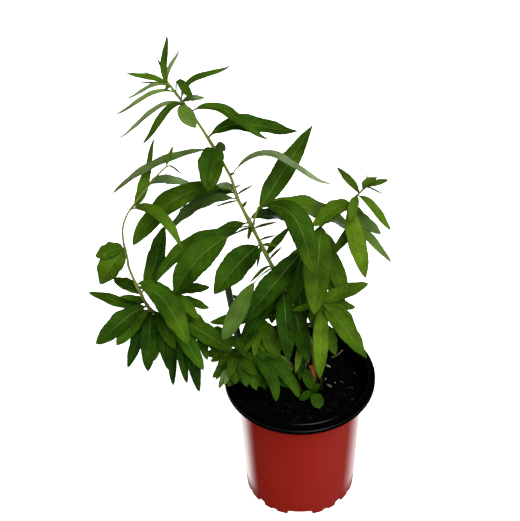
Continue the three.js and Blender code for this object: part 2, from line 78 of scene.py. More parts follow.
def makeStudio():
    scene = bpy.context.scene
    scene.view_settings.view_transform = "Standard"
    bm = bmesh.new()
    bmesh.ops.create_grid(bm, x_segments=1, y_segments=1, size=studio["floor"] / 2)
    floor = finishMesh(bm, "floor", [floorMaterial()])

    world = bpy.data.worlds.new("paleRoom")
    world.use_nodes = True
    background = world.node_tree.nodes["Background"]
    setSockets(background, {"Color": (1, 1, 1, 1), "Strength": studio["worldStrength"]})
    scene.world = world

    place, energy, spread = studio["sun"]
    sun = addLight("softSun", "SUN", energy, -Vector(place))
    sun.data.angle = math.radians(spread)
    for name, place, size, energy, mirrored in studio["lights"]:
        softbox = addLight(name, "AREA", energy, Vector(studio["lightsAimAt"]) - Vector(place))
        softbox.data.shape = "RECTANGLE"
        softbox.data.size, softbox.data.size_y = size
        softbox.location = place
        softbox.visible_glossy = mirrored

    data = bpy.data.cameras.new("photoCamera")
    data.lens = studio["focalLength"]
    data.sensor_width = studio["sensor"]
    data.shift_x, data.shift_y = studio["shift"]
    data.clip_end = studio["clipEnd"]
    camera = bpy.data.objects.new("photoCamera", data)
    camera.location = studio["cameraPlace"]
    camera.rotation_euler = (math.radians(90 - studio["cameraDown"]), 0, 0)
    scene.collection.objects.link(camera)
    scene.camera = camera
    print("studio ready")


# Mesh helpers

def finishMesh(bm, name, materials, smoothAngle=None):
    mesh = bpy.data.meshes.new(name)
    bm.to_mesh(mesh)
    bm.free()
    return placeMesh(mesh, name, materials, smoothAngle)


def placeMesh(mesh, name, materials, smoothAngle=None):
    mesh.materials.clear()
    for material in materials:
        mesh.materials.append(material)
    if smoothAngle:
        mesh.shade_smooth()
        mesh.set_sharp_from_angle(angle=math.radians(smoothAngle))
    piece = bpy.data.objects.new(name, mesh)
    bpy.context.scene.collection.objects.link(piece)
    return piece


def evaluatedMesh(piece):
    bpy.context.view_layer.update()
    graph = bpy.context.evaluated_depsgraph_get()
    mesh = bpy.data.meshes.new_from_object(piece.evaluated_get(graph))
    bpy.data.objects.remove(piece)
    return mesh


def joinPieces(pieces, name):
    first = pieces[0]
    with bpy.context.temp_override(active_object=first, object=first, selected_objects=pieces,
                                   selected_editable_objects=pieces):
        bpy.ops.object.join()
    first.name = name
    first.data.name = name
    return first


def clamp(value, low, high):
    return max(low, min(high, value))


# Shader helpers

def makeTree(name):
    material = bpy.data.materials.new(name)
    material.use_nodes = True
    tree = material.node_tree
    return material, tree, tree.nodes["Principled BSDF"]


# The tree that a socket or a node belongs to is its id_data
def setSocket(socket, value):
    if hasattr(value, "is_output"):
        socket.id_data.links.new(value, socket)
    else:
        socket.default_value = value


def setSockets(node, values):
    for label, value in values.items():
        setSocket(node.inputs[label], value)


def maths(operation, a, b=None, clamped=False):
    node = a.id_data.nodes.new("ShaderNodeMath")
    node.operation = operation
    node.use_clamp = clamped
    setSocket(node.inputs[0], a)
    if b is not None:
        setSocket(node.inputs[1], b)
    return node.outputs[0]


def times(a, b):
    return maths("MULTIPLY", a, b)


def plus(a, b, clamped=False):
    return maths("ADD", a, b, clamped)


def remap(value, fromLow, fromHigh, toLow, toHigh):
    node = value.id_data.nodes.new("ShaderNodeMapRange")
    node.interpolation_type = "SMOOTHSTEP"
    setSockets(node, {"Value": value, "From Min": fromLow, "From Max": fromHigh,
                      "To Min": toLow, "To Max": toHigh})
    return node.outputs[0]


def hump(value, rise, fall, low=0):
    # grows from low to 1 over the rise, and goes back to low over the fall
    return times(remap(value, *rise, low, 1), remap(value, *fall, 1, low))


def mixColour(tree, factor, a, b, blend="MIX"):
    node = tree.nodes.new("ShaderNodeMix")
    node.data_type = "RGBA"
    node.blend_type = blend
    for index, value in ((0, factor), (6, a), (7, b)):
        setSocket(node.inputs[index], value)
    return node.outputs[2]


def layered(finish, first, layers):
    # each layer is how much of it shows and the name of its colour
    base = finish[first]
    for share, colour in layers:
        base = mixColour(share.id_data, share, base, finish[colour])
    return base


def joinChannels(channels):
    node = channels[0].id_data.nodes.new("ShaderNodeCombineColor")
    for socket, channel in zip(node.inputs, channels):
        setSocket(socket, channel)
    return node.outputs[0]


def objectPlace(tree):
    place = tree.nodes.new("ShaderNodeTexCoord").outputs["Object"]
    split = tree.nodes.new("ShaderNodeSeparateXYZ")
    tree.links.new(place, split.inputs[0])
    return tuple(split.outputs)


def objectNoise(tree, scale, detail=3, roughness=0.55):
    place = tree.nodes.new("ShaderNodeTexCoord").outputs["Object"]
    node = tree.nodes.new("ShaderNodeTexNoise")
    setSockets(node, {"Vector": place, "Scale": scale, "Detail": detail, "Roughness": roughness})
    return node.outputs["Fac"]


def bumpFrom(shader, height, strength, distance):
    node = shader.id_data.nodes.new("ShaderNodeBump")
    setSockets(node, {"Strength": strength, "Distance": distance, "Height": height})
    setSocket(shader.inputs["Normal"], node.outputs[0])


def edgeGloss(tree, start, end, most=1):
    # plastic and waxy leaves mirror the bright room where they turn away from the eye
    facing = tree.nodes.new("ShaderNodeLayerWeight")
    facing.inputs["Blend"].default_value = 0.5
    return remap(facing.outputs["Facing"], start, end, 0, most)


def newGroup(name, inputs, outputs):
    group = bpy.data.node_groups.new(name, "ShaderNodeTree")
    for label, kind, value in inputs:
        socket = group.interface.new_socket(name=label, in_out="INPUT", socket_type=kind)
        if value is not None:
            socket.default_value = value
    for label, kind in outputs:
        group.interface.new_socket(name=label, in_out="OUTPUT", socket_type=kind)
    start = group.nodes.new("NodeGroupInput")
    end = group.nodes.new("NodeGroupOutput")
    return group, start.outputs, end


def useGroup(tree, group, **values):
    node = tree.nodes.new("ShaderNodeGroup")
    node.node_tree = group
    setSockets(node, values)
    return node.outputs


# Veins of a blade from its own map: the map runs 0 to 1 across and root to tip
def makeVeinGroup():
    number = "NodeSocketFloat"
    group, given, result = newGroup(
        "bladeVeins",
        [("map", "NodeSocketVector", None), ("pairs", number, 9.0), ("sweep", number, 0.13)],
        [("midrib", number), ("side", number), ("swell", number), ("outer", number), ("rim", number)],
    )
    split = group.nodes.new("ShaderNodeSeparateXYZ")
    group.links.new(given["map"], split.inputs[0])
    across = maths("SUBTRACT", times(split.outputs[0], 2), 1)
    along = split.outputs[1]
    out = maths("ABSOLUTE", across)
    # the veins of the two halves take turns, and all sweep towards the tip
    left = times(maths("LESS_THAN", across, 0), 0.45)
    swept = times(maths("POWER", out, 1.3), given["sweep"])
    steps = times(maths("SUBTRACT", along, swept), given["pairs"])
    phase = maths("FRACT", plus(plus(steps, left), 20))
    away = times(maths("ABSOLUTE", maths("SUBTRACT", phase, 0.5)), 2)
    fade = remap(out, 0.5, 0.98, 1, 0.1)
    setSockets(result, {
        "midrib": remap(out, 0.015, 0.085, 1, 0),
        "side": times(remap(away, 0.02, 0.26, 1, 0), fade),
        "swell": times(remap(away, 0, 0.8, 0, 1), fade),
        "outer": remap(along, 0.25, 0.95, 0, 1),
        "rim": remap(out, 0.86, 1, 0, 1),
    })
    return group


# Uneven tone of living tissue: a large slow change and a fine grain, on top of each leaf's tone, which is
# partly random and partly painted shade
def makeTissueGroup():
    number = "NodeSocketFloat"
    group, given, result = newGroup(
        "livingTissue",
        [("colour", "NodeSocketColor", None), ("tone", number, 0.0), ("depth", number, 0.25)],
        [("colour", "NodeSocketColor"), ("grain", number)],
    )
    slow = remap(objectNoise(group, 38, 2), 0.3, 0.7, -1, 1)
    grain = objectNoise(group, 620, 4, 0.6)
    fine = remap(grain, 0.3, 0.7, -0.3, 0.3)
    sway = plus(plus(slow, fine), given["tone"])
    level = plus(times(sway, given["depth"]), 1)
    # a darker leaf is a deeper green, not a browner one
    deep = plus(times(maths("MINIMUM", given["tone"], 0), 0.14), 1)
    grey = joinChannels((times(level, deep), level, level))
    setSockets(result, {
        "colour": mixColour(group, 1.0, given["colour"], grey, "MULTIPLY"),
        "grain": grain,
    })
    return group


veinGroup = makeVeinGroup()
tissueGroup = makeTissueGroup()


# Leaf and stem materials. The attribute leafKind holds each leaf's tone, youth and paleness; the tone is
# partly random and partly painted shade on leaves deep in the plant, and the paleness is partly a pale
# colour and partly a painted silvery sheen.

leafFinish = {
    "mature": (0.0092, 0.0330, 0.0014, 1),
    "olive": (0.0230, 0.0520, 0.0018, 1),
    "young": (0.0560, 0.1050, 0.0040, 1),
    "rim": (0.0050, 0.0180, 0.0010, 1),
    # a silvery grey-green, partly the pale colour of dry and young parts and partly a painted sheen
    "pale": (0.155, 0.195, 0.095, 1),
    "vein": (0.0780, 0.1280, 0.0220, 1),
    "under": (0.0520, 0.0820, 0.0150, 1),
    "underYoung": (0.0780, 0.1200, 0.0170, 1),
    "underVein": (0.1050, 0.1450, 0.0480, 1),
    "rib": (0.058, 0.090, 0.014, 1),
    # how much of each colour shows
    "patch": (0.36, 0.66, -0.25, 0.75),
    "outerOlive": 0.5, "sideVein": 0.06, "midrib": 0.6, "rimShade": 0.5,
    "underPale": 0.85, "underSideVein": 0.3,
    # where a blade turns away from the eye: from, to, most
    "waxEdge": (0.6, 0.97, 0.22),
}


def leafKind(tree):
    node = tree.nodes.new("ShaderNodeAttribute")
    node.attribute_name = "leafKind"
    split = tree.nodes.new("ShaderNodeSeparateColor")
    tree.links.new(node.outputs["Color"], split.inputs[0])
    return tuple(split.outputs)


def leafVeins(tree):
    node = tree.nodes.new("ShaderNodeUVMap")
    node.uv_map = "leafMap"
    return useGroup(tree, veinGroup, map=node.outputs[0])


def bladeTopMaterial():
    material, tree, shader = makeTree("bladeTop")
    tone, youth, pale = leafKind(tree)
    veins = leafVeins(tree)
    patch = remap(objectNoise(tree, 24, 2), *leafFinish["patch"])
    olive = plus(times(veins["outer"], leafFinish["outerOlive"]), patch, True)
    # the paleness grows towards the tip; it is partly a pale colour and partly a painted silvery sheen
    paleAndPaintedSheen = times(pale, remap(veins["outer"], 0, 1, 0.5, 1))
    base = layered(leafFinish, "mature", [
        (olive, "olive"), (youth, "young"), (paleAndPaintedSheen, "pale"),
        (times(veins["side"], leafFinish["sideVein"]), "vein"),
        (times(veins["midrib"], leafFinish["midrib"]), "vein"),
        (times(veins["rim"], leafFinish["rimShade"]), "rim"),
    ])
    tissue = useGroup(tree, tissueGroup, colour=base, tone=tone, depth=0.3)
    setSockets(shader, {
        "Base Color": tissue["colour"],
        "Roughness": remap(tissue["grain"], 0.3, 0.7, 0.38, 0.54),
        "Specular IOR Level": 0.01,
        "Coat Weight": edgeGloss(tree, *leafFinish["waxEdge"]),
        "Coat Roughness": 0.4,
    })
    bumpFrom(shader, plus(veins["swell"], times(tissue["grain"], 0.5)), 0.6, 0.0007)
    return material


def bladeUnderMaterial():
    material, tree, shader = makeTree("bladeUnder")
    tone, youth, pale = leafKind(tree)
    veins = leafVeins(tree)
    base = layered(leafFinish, "under", [
        (youth, "underYoung"),
        # the paleness here is partly a pale colour and partly a painted sheen
        (times(pale, leafFinish["underPale"]), "pale"),
        (times(veins["side"], leafFinish["underSideVein"]), "underVein"),
        (times(veins["midrib"], leafFinish["midrib"]), "underVein"),
    ])
    tissue = useGroup(tree, tissueGroup, colour=base, tone=tone, depth=0.15)
    setSockets(shader, {"Base Color": tissue["colour"], "Roughness": 0.7, "Specular IOR Level": 0.02})
    height = maths("SUBTRACT", times(tissue["grain"], 0.6), veins["swell"])
    bumpFrom(shader, height, 0.4, 0.0004)
    return material


def ribMaterial():
    material, tree, shader = makeTree("ribAndStalk")
    tissue = useGroup(tree, tissueGroup, colour=leafFinish["rib"], tone=0.0, depth=0.2)
    setSockets(shader, {"Base Color": tissue["colour"], "Roughness": 0.5, "Specular IOR Level": 0.1})
    bumpFrom(shader, tissue["grain"], 0.3, 0.0003)
    return material


stemFinish = {
    "tip": (0.085, 0.110, 0.016, 1),
    "green": (0.062, 0.078, 0.009, 1),
    "wood": (0.011, 0.006, 0.003, 1),
    "stub": (0.300, 0.095, 0.035, 1),
    # heights: the wood ends between the first two, and the tip's colour is full at the third
    "woodTop": (0.120, 0.150),
    "greenTop": 0.33,
    # the cut stub: its place, how far its colour goes round that, and how far up
    "stubPlace": (0.011, 0.002),
    "stubReach": (0.0035, 0.006),
    "stubTop": (0.134, 0.142),
}


def stemMaterial():
    material, tree, shader = makeTree("stemBark")
    right, back, up = objectPlace(tree)
    patch = times(maths("SUBTRACT", objectNoise(tree, 90), 0.5), 0.05)
    height = plus(up, patch)
    woodLow, woodTop = stemFinish["woodTop"]
    # the cut stub is bare orange wood
    aside, behind = (maths("ABSOLUTE", maths("SUBTRACT", place, middle))
                     for place, middle in zip((right, back), stemFinish["stubPlace"]))
    bare = times(remap(plus(aside, behind), *stemFinish["stubReach"], 1, 0),
                 remap(up, *stemFinish["stubTop"], 1, 0))
    base = layered(stemFinish, "green", [
        (remap(height, woodTop, stemFinish["greenTop"], 0, 1), "tip"),
        (remap(height, woodLow, woodTop, 1, 0), "wood"),
        (bare, "stub"),
    ])
    tissue = useGroup(tree, tissueGroup, colour=base, tone=0.0, depth=0.28)
    setSockets(shader, {"Base Color": tissue["colour"], "Roughness": 0.5, "Specular IOR Level": 0.12})
    bumpFrom(shader, tissue["grain"], 0.45, 0.0005)
    return material


def floorMaterial():
    material, tree, shader = makeTree("paleFloor")
    soft = remap(objectNoise(tree, 3), 0.3, 0.7, 0.9, 0.94)
    # a glow that lights nothing else keeps it pale under the leaves
    lights = tree.nodes.new("ShaderNodeLightPath").outputs["Is Diffuse Ray"]
    setSockets(shader, {
        "Base Color": joinChannels((soft, soft, soft)),
        "Roughness": 0.9,
        "Specular IOR Level": 0.1,
        "Emission Color": mixColour(tree, lights, studio["floorGlow"], (0, 0, 0, 1)),
        "Emission Strength": 1,
    })
    return material


# Stems and leaves

viewDown = math.radians(42)


def sight(right, up, toward):
    # a reach as seen from the front, 42 degrees above: right, up and toward the eye
    rise, lean = math.cos(viewDown), math.sin(viewDown)
    return Vector((right, up * lean - toward * rise, up * rise + toward * lean)) * mm


def routePoint(route, station):
    # station 0 is the first point of the route, 1 the second, and so on
    last = len(route) - 1
    i = clamp(int(station), 0, last - 1)
    t = station - i
    a, b = route[i], route[i + 1]
    before = route[i - 1] if i else a * 2 - b
    after = route[i + 2] if i + 2 <= last else b * 2 - a
    slopeA, slopeB = (b - before) / 2, (after - a) / 2
    return (a * (1 + t * t * (2 * t - 3)) + b * (t * t * (3 - 2 * t))
            + slopeA * (t * (t - 1) ** 2) + slopeB * (t * t * (t - 1)))


def squared(direction, along):
    return (direction - along * direction.dot(along)).normalized()


# An arch is fullest a third of the way out, with height 1 there
bowScale = 6.75
# a hang is fullest past the middle, so the tip end hangs steeply
droopScale = 2.6


def bow(t):
    return bowScale * t * (1 - t) ** 2


def bowSlope(t):
    return bowScale * (1 - t) * (1 - 3 * t)


def droop(t):
    return droopScale * t * (1 - t * t)


def droopSlope(t):
    return droopScale * (1 - 3 * t * t)


def widthShare(part, blunt, roundness):
    # a long point, a blunt oblong and a disc, one mixed into the next
    lance = part ** 0.75 * (1 - part) ** 1.1 / (0.4 ** 0.75 * 0.6 ** 1.1)
    oblong = part ** 0.8 * (1 - part) ** 0.6 / (0.571 ** 0.8 * 0.429 ** 0.6)
    disc = 2 * math.sqrt(part * (1 - part))
    share = lance + (oblong - lance) * blunt
    return share + (disc - share) * roundness


# An arch rises almost straight up, and a blade faces up and a little to the front
archWay = Vector((0, -0.02, 1))
faceWay = Vector((0, -0.33, 0.94))

# What a leaf is like unless its row says otherwise
bladeShape = {
    "arch": 4, "hang": 0, "roll": 0, "bend": 0, "twist": 14, "turned": False,
    "petiole": 0.07, "fold": 0.24, "round": 0, "slim": 1,
    # tone spreads each leaf's darkness at random, and a row's tone below zero darkens a leaf as painted
    # shade; pale is partly a pale colour and partly a painted silvery sheen
    "pale": 0, "tone": 0, "toneSpread": 0.55,
    "thickness": 0.42, "ribRadius": 0.5, "ribTip": 0.08, "ribEnd": 0.94, "groove": 0.35,
    # the stalk's half width, and how much of the blade's width comes on top
    "stalk": (0.35, 0.022),
    "toothSize": 0.05, "toothStep": 5.5, "veinStep": 7, "swell": 0.18,
    "lobe": 0.05, "wave": 0.075, "waveLimit": 1.3,
    "rowStep": 1.9, "rows": (7, 44),
    # least width, and the columns from there up
    "columns": ((11, 12), (7, 8), (4.5, 6), (0, 4)),
}
# the same for the smallest ones, below this width and length
slipShape = {"arch": 1, "petiole": 0.1, "fold": 0.1, "slim": 0.72}
slipWidth, slipLength = 5, 26


def addBlade(bm, layers, ribs, root, reach, width, shape, rng):
    uvLayer, kindLayer = layers
    length = reach.length / mm
    rows = int(clamp(length / shape["rowStep"], *shape["rows"]))
    columns = next(count for least, count in shape["columns"] if width >= least)
    along = reach.normalized()
    roll = shape["roll"] + (180 if shape["turned"] else 0)
    fold = -shape["fold"] if shape["turned"] else shape["fold"]
    rise = squared(archWay, along)
    face = Matrix.Rotation(math.radians(roll), 3, along) @ squared(faceWay, along)
    # bends to the right of its travel as seen from the side that faces up
    sideways = along.cross(face) * (-1 if shape["turned"] else 1)
    arch, hang, bend = shape["arch"] * mm, shape["hang"] * mm, shape["bend"] * mm
    groove, swell = shape["groove"] * mm, shape["swell"] * mm
    twist = math.radians(rng.uniform(-1, 1) * shape["twist"])
    waves = rng.uniform(2.4, 4.2)
    phase = rng.uniform(0, 6.28)
    lobe = shape["lobe"] * clamp((width - 6) / 8, 0, 1)
    teeth = round(length / shape["toothStep"])
    pairs = clamp(round(length / shape["veinStep"]), 4, 10)
    waveSize = min(shape["waveLimit"], width * shape["wave"]) * mm
    stalk = (shape["stalk"][0] + width * shape["stalk"][1]) * mm
    # a random tone plus the row's tone, which below zero is painted shade
    tone = rng.uniform(-shape["toneSpread"], shape["toneSpread"]) + shape["tone"]

    def middle(t):
        return root + reach * t + rise * (arch * bow(t) + hang * droop(t)) + sideways * (bend * bow(t))

    def frameAt(t):
        climb = arch * bowSlope(t) + hang * droopSlope(t)
        heading = (reach + rise * climb + sideways * (bend * bowSlope(t))).normalized()
        side = heading.cross(face).normalized()
        turn = Matrix.Rotation(twist * t, 3, heading)
        return turn @ side, turn @ side.cross(heading)

    grid = bmesh.ops.create_grid(bm, x_segments=columns, y_segments=rows, size=1)["verts"]
    spots = {vert: (vert.co.x, (vert.co.y + 1) / 2) for vert in grid}
    for quad in {quad for vert in grid for quad in vert.link_faces}:
        for loop in quad.loops:
            u, t = spots[loop.vert]
            loop[uvLayer].uv = ((u + 1) / 2, t)
    for vert, (u, t) in spots.items():
        right = u > 0
        out = abs(u) ** 1.25
        side, lift = frameAt(t)
        # the outline: a little uneven, with small teeth, and a stalk at the root
        part = max(0, (t - shape["petiole"]) / (1 - shape["petiole"]))
        spread = width / 2 * mm * widthShare(part, shape["blunt"], shape["round"])
        spread *= 1 + lobe * math.sin(waves * t * 7.9 + phase * 2 + (2.4 if right else 0)) * (1 - t)
        saw = (t * teeth + (0.5 if right else 0)) % 1
        tooth = shape["toothSize"] * (saw - 0.4) * out ** 6 * (1 if 0.2 < part < 0.93 else 0)
        spread = spread * (1 + tooth) + stalk * (1 - t) ** 2
        # the relief: a waved edge, a groove over the midrib and swellings between the veins
        wave = waveSize * math.sin(waves * t * 6.28 + phase + (1.9 if right else 0)) * out ** 2
        furrow = -groove * math.exp(-(u / 0.13) ** 2) * (1 - t)
        veinPhase = (t - 0.13 * abs(u) ** 1.3) * pairs + (0.45 if u < 0 else 0)
        pillow = swell * math.sin(math.pi * veinPhase) ** 2 * 4 * out * (1 - out)
        ripple = (wave + furrow + pillow * width / 14) * math.sin(math.pi * t) ** 0.5
        raised = fold * spread * out ** 1.4 + ripple
        vert.co = middle(t) + side * (math.copysign(out, u) * spread) + lift * raised
        vert[kindLayer] = (tone, shape["young"], shape["pale"], 1)
    # the last row closes to the point
    tips = [vert for vert in grid if spots[vert][1] > 0.999]
    bmesh.ops.pointmerge(bm, verts=tips, merge_co=middle(1))

    # the raised midrib of the underside
    ribRadius = shape["ribRadius"] * mm * clamp(width / 13, 0.5, 1.25)
    steps = max(5, rows // 2)
    points = []
    for i in range(steps + 1):
        t = shape["ribEnd"] * i / steps
        under = frameAt(t)[1] * (shape["thickness"] * mm * 0.8 + groove * (1 - t) * min(1, t * 8))
        points.append((middle(t) - under, ribRadius * (1 - t) ** 0.8 + shape["ribTip"] * mm))
    addSpline(ribs, points)


def addSpline(curve, points):
    spline = curve.splines.new("POLY")
    spline.points.add(len(points) - 1)
    for slot, (place, radius) in zip(spline.points, points):
        slot.co = (*place, 1)
        slot.radius = radius
    spline.use_smooth = True


def newTubes(name, sidesLevel):
    curve = bpy.data.curves.new(name, "CURVE")
    curve.dimensions = "3D"
    curve.bevel_depth = 1
    curve.bevel_resolution = sidesLevel
    curve.use_fill_caps = True
    return curve


def tubesToPiece(curve, name, material):
    holder = bpy.data.objects.new(name, curve)
    bpy.context.scene.collection.objects.link(holder)
    return placeMesh(evaluatedMesh(holder), name, [material], 60)


bladeTop = bladeTopMaterial()
bladeUnder = bladeUnderMaterial()
ribAndStalk = ribMaterial()
stemBark = stemMaterial()

# A stem is this many times finer than its route, swells a little at its joints, and its leaves
# start a little inside it
stemShape = {"finer": 8, "knot": 0.22, "knotReach": 0.12, "knotLimit": 0.35, "jointWidth": 7,
             "inset": 0.7, "insetShare": 0.6}


def addStem(curve, route, thick, thin, joints):
    last = len(route) - 1
    points = []
    for i in range(last * stemShape["finer"] + 1):
        station = i / stemShape["finer"]
        radius = thin + (thick - thin) * (1 - station / last) ** 2
        knot = sum(stemShape["knot"] * math.exp(-((station - joint) / stemShape["knotReach"]) ** 2)
                   for joint in joints)
        points.append((routePoint(route, station), radius * (1 + min(knot, stemShape["knotLimit"])) * mm))
    addSpline(curve, points)


def makeShoot(node, shoot):
    rng = random.Random(shoot["seed"])
    bm = bmesh.new()
    layers = (bm.loops.layers.uv.new("leafMap"), bm.verts.layers.float_color.new("leafKind"))
    ribs = newTubes(node + "Ribs", 1)
    stems = newTubes(node + "Stems", 4)
    for stem in (shoot, *shoot.get("sideStems", [])):
        route = [Vector(point) * mm for point in stem["route"]]
        thick, thin = stem["radius"]
        joints = sorted({round(station, 1) for station, reach, width, form in stem["leaves"]
                         if width >= stemShape["jointWidth"]})
        addStem(stems, route, thick, thin, joints)
        for station, reach, width, form in stem["leaves"]:
            slip = slipShape if width < slipWidth and Vector(reach).length < slipLength else {}
            shape = {**bladeShape, "young": shoot["young"], "blunt": shoot["blunt"], **slip, **form}
            out = sight(*reach)
            stemRadius = (thick + (thin - thick) * station / (len(route) - 1)) * mm
            inset = out.normalized() * min(stemShape["inset"] * mm, stemRadius * stemShape["insetShare"])
            addBlade(bm, layers, ribs, routePoint(route, station) - inset, out + inset,
                     width * shape["slim"], shape, rng)
    blades = finishMesh(bm, node, [bladeTop, bladeUnder])
    wall = blades.modifiers.new("thickness", "SOLIDIFY")
    wall.thickness = bladeShape["thickness"] * mm
    wall.offset = -1
    wall.material_offset = 1
    blades = placeMesh(evaluatedMesh(blades), node, [bladeTop, bladeUnder], 55)
    pieces = [blades, tubesToPiece(ribs, node + "Ribs", ribAndStalk),
              tubesToPiece(stems, node + "Stems", stemBark)]
    piece = joinPieces(pieces, node + "_leaves")
    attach(piece, "root")
    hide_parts(node)
    print(piece.name, len(piece.data.polygons), "faces")


def leaf(station, reach, width, **form):
    # where on the stem, how far it reaches (right, up, toward the eye), how wide, and its shape
    return station, reach, width, form


leader = {"seed": 11, "young": 0.12, "blunt": 0.3, "radius": (2.6, 1.1), "route": [
    (14, 6, 101), (14, 6, 119), (10, 6, 158), (0, 8, 185), (-13, 10, 220), (-26, 12, 253),
    (-38, 14, 284), (-50, 16, 315), (-55, 17, 336), (-67, 18, 364), (-80, 20, 390), (-90, 20, 408),
    (-101, 20, 427),
], "leaves": [
    # growing tip
    leaf(11.95, (0, 35, 10), 5, arch=0, bend=-3, petiole=0.02),
    leaf(11.95, (9, 25, 4), 3, arch=0, bend=-3, pale=0.8),
    leaf(11.95, (-9, 21, -5), 2.5),
    leaf(11.9, (-32, 8, 4), 4.6, arch=2, young=0.5),
    leaf(11.85, (-24, 3, -6), 2.5, pale=0.7),
    leaf(11.9, (-20, 10, -4), 3, pale=0.7),
    leaf(11.8, (-4, -3, 3), 4),
    leaf(11.45, (-46, -17, 6), 3.8, arch=8, young=0.9, pale=0.45),
    leaf(11.7, (-35, -8, 0), 3.2, arch=7, young=0.6, pale=0.7),
    leaf(10.95, (-49, -28, 10), 4.2, arch=9, young=0.5, pale=0.7),
    leaf(10.85, (-31, -31, 16), 6, arch=10),
    leaf(11.05, (37, 28, -6), 5, arch=2, bend=-8),
    leaf(11.4, (13, -3, 8), 7, arch=13, petiole=0.3),
    leaf(11, (10, -20, -2), 12, arch=2, bend=3, roll=10, young=0.8, pale=0.2),
    leaf(11, (17, 4, -4), 6, arch=2, pale=0.6),
    # upper whorls
    leaf(10.4, (60, -21, 4), 9, arch=14),
    leaf(9.35, (70, 6, -3), 16, arch=12),
    leaf(8.95, (-4, -33, 22), 20, arch=10, blunt=0.5),
    leaf(9.05, (-2, -31, 24), 7, arch=7, bend=-4, tone=-0.3),
    leaf(9, (9, -2, 8), 10, arch=2, round=0.3, pale=0.1),
    leaf(9, (-80, -35, -4), 7.5, arch=3, hang=8, petiole=0.1, pale=0.35, blunt=0.6),
    leaf(8, (80, -5, -6), 6.5, arch=27, pale=0.85, blunt=0.5),
    leaf(8.05, (4, 2, 2), 3),
    leaf(7.3, (-81, -43, 8), 20, arch=12, hang=13, petiole=0.12, young=0.35, blunt=0.8),
    leaf(7.35, (-16, 4, -4), 7, arch=2, turned=True, pale=0.8),
    leaf(7.4, (5, 4, 0), 2),
    leaf(7.1, (14, 9, 0), 2.5),
    leaf(6.95, (-56, -24, -8), 12, arch=7, hang=6, blunt=0.6, pale=0.15, tone=0.6),
    leaf(6.9, (-20, -5, 6), 2.5),
    leaf(6.65, (4, 6, 0), 3.5),
    # middle whorls
    leaf(6.1, (-79, -47, -6), 13, arch=3, hang=15, petiole=0.2, tone=-0.8),
    leaf(6.05, (-62, -53, 10), 25, hang=12, petiole=0.27, blunt=0.6, tone=-0.6),
    leaf(6.1, (-3, -12, 4), 4.5),
    leaf(6, (20, 6, 0), 3.5),
    leaf(5.6, (14, 5, -3), 2.5),
    leaf(5.5, (-38, -41, 6), 24, arch=2, hang=2, tone=-0.8),
    leaf(5.45, (14, 0, 3), 4.5, young=0.6),
    leaf(5.5, (-3, -20, 2), 3.5),
    leaf(5.1, (19, 24, 2), 7, arch=2),
    leaf(4.95, (11, 12, 2), 3),
    leaf(4.75, (-19, -13, 5), 4, arch=4),
    leaf(4.7, (-40, -57, 44), 15, bend=4, petiole=0.3, turned=True, pale=0.1, blunt=0.9),
    # lower whorls, darkened as painted shade
    leaf(3.9, (-45, -53, 4), 12, arch=9, tone=-1.9),
    leaf(4.1, (5, -62, 10), 16, arch=6, tone=-2.3),
    leaf(3.55, (13, -48, -2), 15, tone=-1.5, young=0.25, petiole=0.02),
    leaf(3.4, (-24, -3, -6), 9, arch=3, tone=-1),
    # far side
    leaf(8.6, (-10, -22, -46), 11, arch=2),
    leaf(7.2, (-48, -12, -46), 13, arch=5),
    leaf(6.2, (-48, -34, -44), 15, arch=6),
    leaf(6.3, (40, 2, -46), 14),
    leaf(5.3, (-34, -28, -44), 15, arch=2),
    leaf(4.4, (-6, -40, -38), 14),
    leaf(3.6, (-8, -34, -42), 14),
], "sideStems": [
    {"radius": (1.1, 0.8), "route": [(-38, 13, 286), (-36, 9, 302), (-33, 6, 314)], "leaves": [
        leaf(1.95, (47, -57, 18), 20, arch=13, hang=7, bend=-8, tone=-0.4),
        leaf(1.9, (78, -15, -72), 22, arch=6, hang=4, young=0.45, blunt=0.9),
        leaf(1.3, (46, 72, -8), 17, arch=3, bend=2, blunt=0),
    ]},
    # cut stub beside the foot
    {"radius": (2.5, 2.3), "route": [(11, 2, 112), (11, 2, 122), (9.6, 0.6, 138)], "leaves": []},
    # two leaves of a short side shoot, low on the stem
    {"radius": (0.6, 0.5), "route": [(6, 7, 172), (3, 4, 168)], "leaves": [
        leaf(0.9, (-7, -29, 2), 6, young=0.6, pale=0.1),
        leaf(0.8, (-4, -36, -3), 8, young=0.4, tone=-2.2),
    ]},
]}

